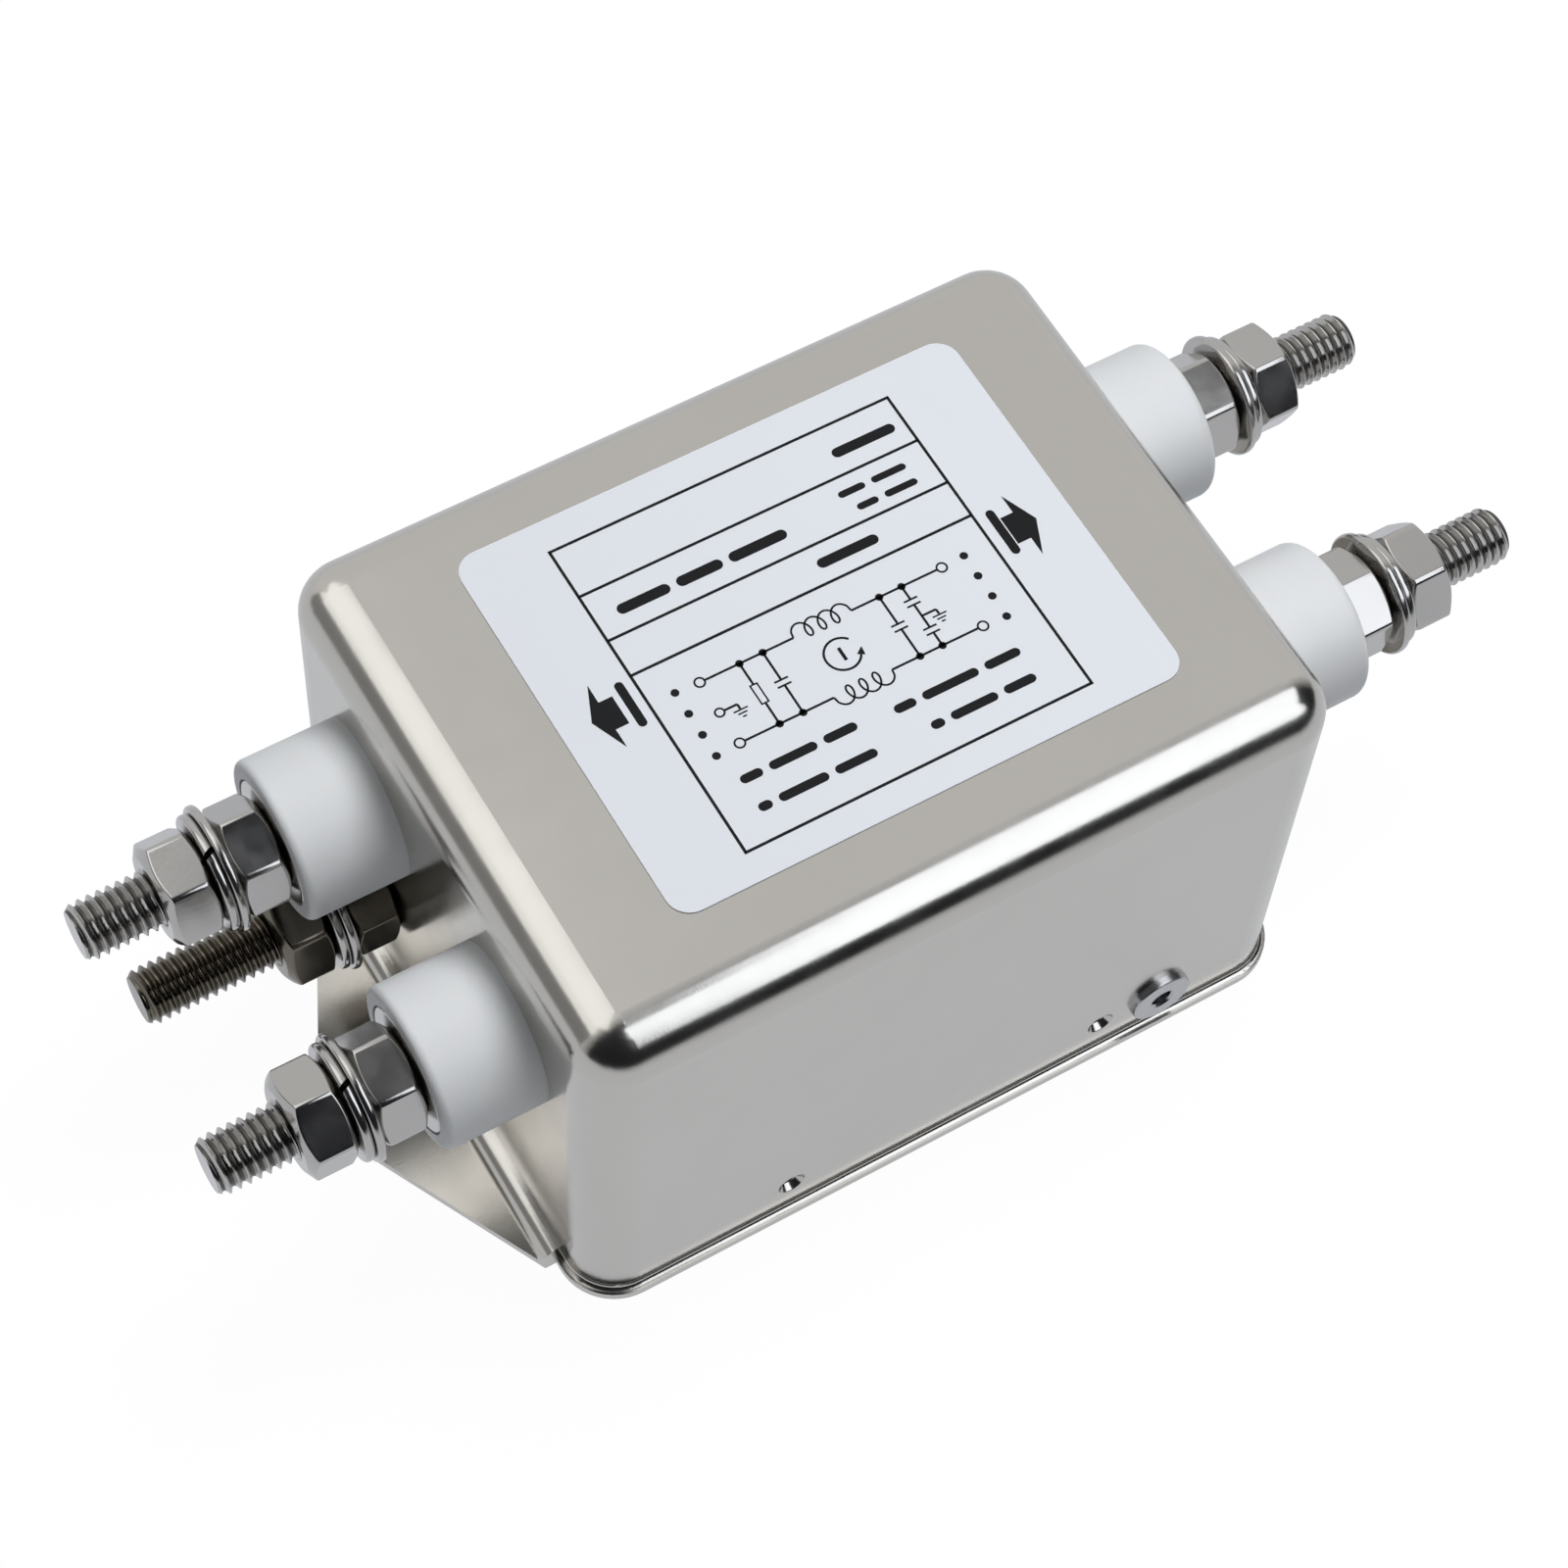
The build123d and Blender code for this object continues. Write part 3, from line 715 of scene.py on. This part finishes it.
@dataclass
class Fasteners:
    """Studs, nuts and washers of the four terminals and the earth stud."""

    steel: Material
    # Darker copy of the steel for the earth stud and nuts, as painted shade.
    earth_painted_shade_steel: Material
    # Darker steel on the thread roots, as painted shade.
    root_painted_shade_steel: Material
    terminal_y: float = 13.65
    terminal_z: float = 33.1
    earth_y: float = 12.6
    earth_z: float = 17.5
    wall: float = 40.2
    line_face: float = 50.5
    load_face: float = 51.4
    washer_thickness: float = 0.9
    spring_thickness: float = 1.0
    washer_r: float = 6.5
    washer_hole_r: float = 3.2
    washer_edge: float = 0.34
    line_slit: float = 102.0
    load_slit: float = 280.0
    thread_hidden: float = 2.0
    stud_inner_end: float = 29.2
    inner_nut_gap: float = 1.3
    earth_inner_end: float = 38.4
    head_thickness: float = 3.2
    free: dict[End, float] = field(default_factory=lambda: {End.LINE: 8.0, End.LOAD: 8.5})
    earth_free: float = 14.0
    head_grip: float = 1.0
    earth_turns: Flat = (35.6, 17.6)

    def seat(self, end: End, row: Row, above: float) -> Seat:
        """Gives the place on one terminal, a distance above its bushing's face."""
        face = self.line_face if end is End.LINE else self.load_face
        return Seat(end, row.value * self.terminal_y, self.terminal_z, face + above)

    def earth_seat(self, above: float) -> Seat:
        """Gives the place on the earth stud, a distance above the can's wall."""
        return Seat(End.LINE, self.earth_y, self.earth_z, self.wall + above)

    def nuts(self) -> None:
        """Builds the seat, clamp, earth and inner nuts."""
        nut = HexNut()
        above_stack = nut.thickness + self.washer_thickness + self.spring_thickness
        inner_reach = self.stud_inner_end + self.inner_nut_gap
        shapes = {name: Shape() for name in ("seat_nuts", "clamp_nuts", "inner_nuts", "earth_nuts")}
        for (end, row), (seat_turn, clamp_turn) in NUT_TURNS.items():
            nut.add(shapes["seat_nuts"], self.seat(end, row, 0.0), seat_turn)
            nut.add(shapes["clamp_nuts"], self.seat(end, row, above_stack), clamp_turn)
            inner = Seat(end, row.value * self.terminal_y, self.terminal_z, inner_reach)
            nut.add(shapes["inner_nuts"], inner, 0.0)
        for above, turn in zip((0.0, above_stack), self.earth_turns):
            nut.add(shapes["earth_nuts"], self.earth_seat(above), turn)
        for name, shape in shapes.items():
            # The earth nuts take the darker copy of the steel: painted shade.
            material = self.earth_painted_shade_steel if name == "earth_nuts" else self.steel
            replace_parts(shape.piece("hex_" + name, [material], "fastener"), name)

    def washers(self) -> None:
        """Builds the seat washers, flat washers and spring washers."""
        nut_top = HexNut().thickness
        flat = rounded_section(self.washer_hole_r, self.washer_r, self.washer_thickness, self.washer_edge)
        shapes = {name: Shape() for name in ("seat_washers", "flat_washers", "spring_washers")}
        spring = SpringWasher()
        for end, row in NUT_TURNS:
            if end is End.LINE:
                lathe(shapes["seat_washers"], self.seat(end, row, -self.washer_thickness), flat)
            lathe(shapes["flat_washers"], self.seat(end, row, nut_top), flat)
            slit = self.line_slit if end is End.LINE else self.load_slit
            spring.add(shapes["spring_washers"], self.seat(end, row, nut_top + self.washer_thickness), slit)
        lathe(shapes["flat_washers"], self.earth_seat(nut_top), flat)
        spring.add(shapes["spring_washers"], self.earth_seat(nut_top + self.washer_thickness), self.line_slit)
        for name, shape in shapes.items():
            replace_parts(shape.piece("round_" + name, [self.steel], "fastener"), name)

    def studs(self) -> None:
        """Builds the threaded studs."""
        thread, nut = Thread(), HexNut()
        stack = 2 * nut.thickness + self.washer_thickness + self.spring_thickness
        for end, name in ((End.LINE, "line_studs"), (End.LOAD, "load_studs")):
            shape = Shape()
            for row in Row:
                start = self.seat(end, row, stack - self.thread_hidden)
                back = start.reach - self.stud_inner_end
                thread.add(shape, start, back, self.free[end] + self.thread_hidden)
            # The second material paints shade into the thread roots.
            steels = [self.steel, self.root_painted_shade_steel]
            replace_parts(shape.piece("threaded_" + name, steels, "fastener", 50.0), name)
        shape = Shape()
        start = self.earth_seat(stack - self.thread_hidden)
        back = start.reach - self.earth_inner_end + self.head_grip
        thread.add(shape, start, back, self.earth_free + self.thread_hidden)
        head = HexNut(thickness=self.head_thickness, bore_r=0.0, sink_r=0.0)
        head.add(shape, self.earth_seat(-self.wall + self.earth_inner_end - self.head_thickness), 0.0)
        # The earth stud takes the darker copy of the steel all over: painted shade.
        steels = [self.earth_painted_shade_steel, self.earth_painted_shade_steel]
        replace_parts(shape.piece("threaded_earth_stud", steels, "fastener", 50.0), "earth_stud")

    def build(self) -> None:
        """Builds every fastener."""
        self.nuts()
        self.washers()
        self.studs()


@dataclass
class PrintedLabel:
    """The label's film and its print: frame, rules, arrows, circuit drawing and rows of plain marks."""

    film: Material
    ink: Material
    print_shape: Shape = field(default_factory=Shape)
    top: float = 50.95
    ink_thickness: float = 0.02
    centre: Flat = (1.2, 1.25)
    size: Flat = (54.4, 43.3)
    corner_r: float = 2.4
    under: float = 50.8
    left: float = -17.3
    right: float = 19.65
    front: float = -17.25
    back: float = 19.4
    rules: tuple[float, ...] = (13.75, 8.25, 3.95)
    frame_line: float = 0.3
    wire_line: float = 0.24
    thin_line: float = 0.16
    bar_gap: float = 0.75
    upper_wire: float = 0.28
    lower_wire: float = -7.1

    def slab(self, shape: Shape, outline: list[Flat], low: float, high: float) -> None:
        """Adds a flat closed slab.

        Args:
            shape: The shape to add to.
            outline: Its outline, in order.
            low: Its lower height.
            high: Its upper height.
        """
        count = len(outline)
        points = [(x, y, z) for z in (low, high) for x, y in outline]
        caps = [tuple(range(count)), tuple(range(count, 2 * count))]
        shape.join(points, band(2, count, closed=False) + caps)

    def mark(self, outline: list[Flat]) -> None:
        """Adds a printed area with this outline."""
        self.slab(self.print_shape, outline, self.top - self.ink_thickness, self.top)

    def box(self, x: float, y: float, wide: float, deep: float) -> None:
        """Adds a printed rectangle around a point."""
        w, d = wide / 2, deep / 2
        self.mark([(x - w, y - d), (x + w, y - d), (x + w, y + d), (x - w, y + d)])

    def line(self, points: list[Flat], width: float, closed: bool = False) -> None:
        """Adds a printed line of even width through some points, as one closed body.

        Args:
            points: The points, in order.
            width: The line's width.
            closed: Whether it runs back to its first point.
        """
        count = len(points)
        sides: tuple[list[Flat], list[Flat]] = ([], [])
        for i, (x, y) in enumerate(points):
            before = points[i - 1] if closed or i else points[0]
            after = points[(i + 1) % count] if closed or i < count - 1 else points[i]
            dx, dy = after[0] - before[0], after[1] - before[1]
            length = math.hypot(dx, dy)
            nx, ny = -dy / length * width / 2, dx / length * width / 2
            sides[0].append((x + nx, y + ny))
            sides[1].append((x - nx, y - ny))
        low = self.top - self.ink_thickness
        rails = ((sides[0], low), (sides[1], low), (sides[1], self.top), (sides[0], self.top))
        rings = [[(*rail[i], z) for rail, z in rails] for i in range(count)]
        caps = [] if closed else [tuple(range(4)), tuple(range(4 * count - 4, 4 * count))]
        self.print_shape.join([point for ring in rings for point in ring], band(count, 4, closed) + caps)

    def ring(
        self, x: float, y: float, radius: float, width: float, start: float = 0.0, sweep: float = 360.0
    ) -> None:
        """Adds a printed ring or arc.

        Args:
            x: Middle along X.
            y: Middle along Y.
            radius: Radius to the middle of the line.
            width: The line's width.
            start: Start angle in degrees.
            sweep: Angle that it covers in degrees.
        """
        points = arc(x, y, radius, start, sweep, int(sweep / 12))
        closed = sweep >= 360
        self.line(points[:-1] if closed else points, width, closed)

    def dot(self, x: float, y: float, radius: float) -> None:
        """Adds a printed dot."""
        self.mark(arc(x, y, radius, 0.0, 360.0, 16)[:-1])

    def bars(self, x: float, y: float, height: float, widths: tuple[float, ...], turn: float = 0.0) -> None:
        """Adds a row of plain rounded bars in place of words.

        Args:
            x: Left end of the row along X.
            y: Middle of the row along Y.
            height: Height of the bars.
            widths: Length of each bar.
            turn: Turn of the row in degrees, around its left end.
        """
        c, s = math.cos(math.radians(turn)), math.sin(math.radians(turn))
        start = 0.0
        for wide in widths:
            r = height / 2
            outline = arc(start + wide - r, 0.0, r, -90, 180, 8) + arc(start + r, 0.0, r, 90, 180, 8)
            self.mark([(x + a * c - b * s, y + a * s + b * c) for a, b in outline])
            start += wide + self.bar_gap

    def build(self) -> None:
        """Builds the film and the print."""
        self.build_film()
        self.draw_frame()
        self.draw_arrows()
        self.draw_circuit()
        self.draw_words()
        self.print_shape.piece("label_print", [self.ink], "label")

    def build_film(self) -> None:
        """Builds the film with rounded corners."""
        outline = []
        for sx, sy, start in ((1, -1, -90), (1, 1, 0), (-1, 1, 90), (-1, -1, 180)):
            x = self.centre[0] + sx * (self.size[0] / 2 - self.corner_r)
            y = self.centre[1] + sy * (self.size[1] / 2 - self.corner_r)
            outline += arc(x, y, self.corner_r, start, 90, 8)
        shape = Shape()
        self.slab(shape, outline, self.under, self.top - self.ink_thickness)
        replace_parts(shape.piece("label_film", [self.film], "label"), "label")

    def draw_frame(self) -> None:
        """Prints the frame and the rules of its header."""
        x, y = (self.left + self.right) / 2, (self.front + self.back) / 2
        wide, deep = self.right - self.left, self.back - self.front
        for edge in (self.front, self.back):
            self.box(x, edge, wide + self.frame_line, self.frame_line)
        for edge in (self.left, self.right):
            self.box(edge, y, self.frame_line, deep)
        for rule in self.rules:
            self.box(x, rule, wide, self.frame_line)

    def draw_arrows(self) -> None:
        """Prints the two block arrows that point to the terminals."""
        stem, barb = 1.63, 3.74
        for x, y, side in ((-21.25, 1.24, -1), (23.25, 0.7, 1)):
            base, tip = -1.42 * side, 1.6 * side
            outline = (
                (base, -stem), (0.0, -stem), (0.0, -barb), (tip, 0.0), (0.0, barb), (0.0, stem), (base, stem)
            )
            self.mark([(x + a, y + b) for a, b in outline])

    def draw_circuit(self) -> None:
        """Prints the circuit: two wires with coils, capacitors, a resistor and earth marks."""
        upper, lower, width = self.upper_wire, self.lower_wire, self.wire_line
        middle = (upper + lower) / 2
        line_end, load_end, coil_start, coil_end = -12.05, 14.1, -2.05, 4.2
        resistor, line_cap, load_cap, earth_caps = -7.84, -5.34, 7.24, 9.67
        for y, coil_side in ((upper, 1), (lower, -1)):
            self.line([(line_end + 0.6, y), (coil_start, y)], width)
            self.line([(coil_end, y), (load_end - 0.6, y)], width)
            for x in (line_end, load_end):
                self.ring(x, y, 0.5, width * 0.8)
            self.coil(coil_start, coil_end, y, coil_side)
            for x in (resistor, line_cap, load_cap, earth_caps):
                self.dot(x, y, 0.4)
        self.plates(line_cap, middle, upper, lower)
        self.plates(load_cap, middle, upper, lower)
        self.resistor(resistor, middle)
        self.plates(earth_caps, upper - 1.95, upper, middle - width / 2)
        self.plates(earth_caps, lower + 1.95, middle, lower)
        self.line([(earth_caps, middle), (11.2, middle)], width)
        self.earth(11.2, middle)
        self.ring(line_end, middle, 0.45, width * 0.8)
        self.line([(-11.5, middle), (-10.2, middle)], width)
        self.earth(-10.2, middle)
        self.choke_mark(1.05, middle)

    def resistor(self, x: float, y: float) -> None:
        """Prints the resistor between the wires, around a point."""
        half_length, half_width = 1.1, 0.36
        self.line([(x, self.upper_wire), (x, y + half_length)], self.wire_line)
        self.line([(x, y - half_length), (x, self.lower_wire)], self.wire_line)
        for side in (-1, 1):
            self.box(x + side * half_width, y, self.thin_line, 2 * half_length)
            self.box(x, y + side * half_length, 2 * half_width + self.thin_line, self.thin_line)

    def choke_mark(self, x: float, y: float) -> None:
        """Prints the open ring with its arrowhead, and a plain stroke in place of its letter."""
        self.ring(x, y, 1.75, self.wire_line, 40.0, 290.0)
        self.mark([(2.91, -4.48), (3.02, -3.5), (2.22, -4.08)])
        self.box(x, y, 0.34, 1.5)

    def coil(self, start: float, end: float, y: float, side: int) -> None:
        """Prints a coil of a few loops between two points of a line.

        Args:
            start: Where it leaves the line.
            end: Where it meets the line again.
            y: The line's place.
            side: 1 if the loops stand towards the back, -1 towards the front.
        """
        points = []
        steps, loops = 72, 3.5
        half_wide, half_high, lift, squash = 0.62, 0.95, 0.35, 0.95
        for step in range(steps + 1):
            share = step / steps
            turn = math.pi - math.tau * loops * share
            x = start + half_wide + (end - start - 2 * half_wide) * share + half_wide * math.cos(turn)
            points.append((x, y + side * (lift + half_high * math.sin(turn)) * squash))
        points[0], points[-1] = (start, y), (end, y)
        self.line(points, self.wire_line * 0.85)

    def plates(self, x: float, y: float, high: float, low: float) -> None:
        """Prints a capacitor's two plates on an upright line.

        Args:
            x: Place of the line.
            y: Middle between the plates.
            high: Upper end of the line.
            low: Lower end of the line.
        """
        gap = 0.32
        self.line([(x, high), (x, y + gap)], self.wire_line)
        self.line([(x, y - gap), (x, low)], self.wire_line)
        for plate in (y + gap, y - gap):
            self.box(x, plate, 1.45, 0.2)

    def earth(self, x: float, y: float) -> None:
        """Prints an earth mark hanging from a point."""
        self.line([(x, y), (x, y - 0.55)], self.wire_line)
        for step, wide in enumerate((1.5, 0.95, 0.4)):
            self.box(x, y - 0.65 - 0.38 * step, wide, self.thin_line)

    def draw_words(self) -> None:
        """Prints plain bars and dots where the label carries words."""
        for x, y, height, widths in (
            (11.6, 16.2, 1.1, (6.9,)),
            (-14.9, 10.7, 1.15, (5.6, 4.9, 6.2)),
            (9.7, 11.85, 0.75, (2.9, 3.75)),
            (10.6, 9.85, 0.75, (2.3, 3.55)),
            (4.0, 6.1, 1.1, (6.6,)),
            (-14.0, -10.6, 0.95, (2.3, 5.0, 3.5)),
            (-14.0, -13.9, 0.95, (1.4, 5.2, 4.4)),
            (2.1, -11.0, 0.95, (2.3, 6.0, 3.8)),
            (4.2, -14.1, 0.95, (1.4, 5.0, 3.4)),
        ):
            self.bars(x, y, height, widths)
        self.bars(-18.75, -1.35, 0.9, (5.3,), 90.0)
        self.bars(21.25, 3.65, 0.9, (5.5,), -90.0)
        for i in range(4):
            for x in (-14.6, 16.6):
                self.dot(x, 0.4 - 2.55 * i, 0.42)


def dress(by_slot: dict[str, Material]) -> None:
    """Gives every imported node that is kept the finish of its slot.

    Args:
        by_slot: The finishes by slot.
    """
    slots = {row["node"]: row["material_slot"] for row in frame["record"]["subparts"]}
    for node, made in frame["nodes"].items():
        if made.hide_render:
            continue
        slot = slots[node]
        made.data.materials.clear()
        made.data.materials.append(by_slot[slot])
        log.info("%s wears %s", node, slot)


# Studio


@dataclass(frozen=True)
class Studio:
    """Floor, surroundings, lamps and the camera at the photograph's place."""

    camera_at: Point = (-116.613, -166.209, 373.102)
    right: Point = (0.862048, -0.50501, 0.042865)
    down: Point = (-0.419427, -0.758316, -0.499038)
    forward: Point = (0.284524, 0.412216, -0.86552)
    lens: float = 94.19
    sensor: float = 36.0
    floor_half: float = 3000.0
    floor_drop: float = 0.02
    floor_colour: Colour = linear(205, 206, 207)
    white_share: float = 0.93
    white_strength: float = 1.04
    mirrored_floor: Colour = (0.7, 0.72, 0.76)
    mirrored_share: float = 0.92
    dark_from: float = -600.0
    bright_from: float = -150.0
    dark_glow: float = 0.06
    ambient: float = 0.18
    dark_front: Colour = (0.018, 0.019, 0.022)
    light_back: Colour = (0.74, 0.74, 0.74)
    room_axis: Point = (-0.05, 1.0, 0.0)
    dark_until: float = 0.46
    light_after: float = 0.62

    def camera(self) -> None:
        """Places the camera."""
        data = bpy.data.cameras.new("photo_camera")
        data.lens, data.sensor_width = self.lens, self.sensor
        data.clip_start, data.clip_end = 0.01, 10.0
        made = place("photo_camera", data)
        columns = (Vector(self.right), -Vector(self.down), -Vector(self.forward))
        turn = Matrix([[column[i] for column in columns] for i in range(3)])
        made.matrix_world = Matrix.Translation(Vector(self.camera_at) * MM) @ turn.to_4x4()
        bpy.context.scene.camera = made

    def lamp(self, name: str, at: Point, towards: Point, size: Flat, power: float) -> None:
        """Adds a soft rectangular lamp that doesn't show in reflections.

        Args:
            name: The lamp's name.
            at: Its place, in millimetres.
            towards: The point it faces.
            size: Its width and depth, in millimetres.
            power: Its power in watts.
        """
        data = bpy.data.lights.new(name, "AREA")
        data.shape, data.size, data.size_y, data.energy = "RECTANGLE", size[0] * MM, size[1] * MM, power
        made = place(name, data)
        aim(made, at, towards)
        made.visible_camera = made.visible_glossy = False

    def sheet(self, name: str, half_width: float, half_depth: float, material: Material) -> Object:
        """Builds a flat rectangle of the studio.

        Args:
            name: Its name.
            half_width: Half its size along its own X, in millimetres.
            half_depth: Half its size along its own Y, in millimetres.
            material: Its material.

        Returns:
            The new object.
        """
        mesh = bpy.data.meshes.new(name)
        w, d = half_width * MM, half_depth * MM
        mesh.from_pydata([(-w, -d, 0), (w, -d, 0), (w, d, 0), (-w, d, 0)], [], [(0, 1, 2, 3)])
        mesh.materials.append(material)
        made = place(name, mesh)
        return made

    def card(
        self, name: str, at: Point, towards: Point, size: Flat, strength: float, tint: Colour = WHITE
    ) -> None:
        """Adds a card that only shows in reflections.

        Args:
            name: The card's name.
            at: Its middle, in millimetres.
            towards: The point it faces.
            size: Its width and depth, in millimetres.
            strength: Its brightness, where 1 is white and 0 is black.
            tint: Its colour.
        """
        material, tree = new_material(name)
        material.node_tree.nodes.remove(material.node_tree.nodes["Principled BSDF"])
        glow = tree.glow("Emission", tint, strength)
        tree.wire(glow.outputs["Emission"], material.node_tree.nodes["Material Output"].inputs["Surface"])
        made = self.sheet(name, size[0] / 2, size[1] / 2, material)
        aim(made, at, towards)
        made.visible_camera = made.visible_diffuse = made.visible_shadow = made.visible_transmission = False

    def floor(self) -> None:
        """Builds the pale floor, which reads as white and keeps a soft shadow."""
        material, tree = new_material("studio_floor")
        matte = material.node_tree.nodes["Principled BSDF"]
        matte.inputs["Base Color"].default_value = (*self.floor_colour, 1.0)
        matte.inputs["Roughness"].default_value = 0.9
        matte.inputs["Specular IOR Level"].default_value = 0.0
        path = tree.node("LightPath")
        reach = tree.node("SeparateXYZ")
        tree.wire(tree.node("TexCoord").outputs["Object"], reach.inputs["Vector"])
        mirrored = tree.glow("Emission", self.mirrored_floor, 1.0)
        ends = (self.dark_from * MM, self.bright_from * MM)
        tree.wire(tree.spread(reach.outputs["Y"], ends, self.dark_glow, 1.0), mirrored.inputs["Strength"])
        white = tree.glow("Emission", WHITE, self.white_strength)
        surface = matte.outputs["BSDF"]
        for ray, share, glow in (
            ("Is Glossy Ray", self.mirrored_share, mirrored),
            ("Is Camera Ray", self.white_share, white),
        ):
            amount = tree.node("Math", operation="MULTIPLY")
            amount.inputs[1].default_value = share
            tree.wire(path.outputs[ray], amount.inputs[0])
            surface = tree.mix(amount.outputs["Value"], surface, glow.outputs["Emission"])
        tree.wire(surface, material.node_tree.nodes["Material Output"].inputs["Surface"])
        made = self.sheet("studio_floor", self.floor_half, self.floor_half, material)
        made.location.z = -self.floor_drop * MM

    def surroundings(self) -> None:
        """Builds the world: white to the camera, a soft ambient light, and a room for reflections."""
        world = bpy.data.worlds.new("studio")
        bpy.context.scene.world = world
        world.use_nodes = True
        tree = Tree(world.node_tree)
        world.node_tree.nodes.remove(world.node_tree.nodes["Background"])
        plain = tree.glow("Background", WHITE, self.ambient)
        white = tree.glow("Background", WHITE, 1.0)
        room = tree.glow("Background", WHITE, 1.0)
        direction = tree.node("TexCoord").outputs["Generated"]
        slope = tree.node("VectorMath", operation="DOT_PRODUCT")
        slope.inputs[1].default_value = self.room_axis
        tree.wire(direction, slope.inputs[0])
        ramp = tree.node("ValToRGB")
        tree.wire(tree.spread(slope.outputs["Value"], (-1.0, 1.0), 0.0, 1.0), ramp.inputs["Fac"])
        for stop, position, colour in zip(
            ramp.color_ramp.elements, (self.dark_until, self.light_after), (self.dark_front, self.light_back)
        ):
            stop.position = position
            stop.color = (*colour, 1.0)
        tree.wire(ramp.outputs["Color"], room.inputs["Color"])
        path = tree.node("LightPath")
        glossy, seen = (path.outputs[f"Is {ray} Ray"] for ray in ("Glossy", "Camera"))
        lights = tree.mix(glossy, plain.outputs["Background"], room.outputs["Background"])
        seen = tree.mix(seen, lights, white.outputs["Background"])
        tree.wire(seen, world.node_tree.nodes["World Output"].inputs["Surface"])

    def build(self) -> None:
        """Builds the whole studio."""
        self.camera()
        self.floor()
        self.surroundings()
        cool = (0.93, 0.97, 1.04)
        self.lamp("overhead_softbox", (150, 60, 600), (0, 0, 30), (260, 260), 2.6)
        self.lamp("front_softbox", (40, -240, 290), (20, 0, 40), (260, 320), 0.12)
        self.card("front_reflector", (137, -200, 242), (137, 0, 242), (246, 196), 1.85, cool)
        self.card("top_reflector", (178, -104, 340), (178, -104, 0), (264, 192), 1.8, cool)
        self.card("corner_reflector", (18, -145, 340), (18, -145, 0), (56, 110), 1.8, cool)
        self.card("left_flag", (-331, 225, 155), (0, 225, 155), (390, 206), 0.25)
        self.card("left_reflector", (-330, 225, 345), (0, 225, 345), (390, 171), 1.25)
        self.card("upper_left_reflector", (-182, 208, 470), (0, 0, 30), (380, 380), 1.4)
        bpy.context.scene.view_settings.view_transform = "Standard"


def main() -> None:
    """Builds the filter's pieces and the studio in order."""
    built = {name: finish.build() for name, finish in FINISHES.items()}
    Fasteners(built["fastener"], built["earth"], built["thread_root"]).build()
    PrintedLabel(built["label"], built["ink"]).build()
    dress(built)
    Studio().build()
    log.info("sizes written")


if __name__ == "__main__":
    main()
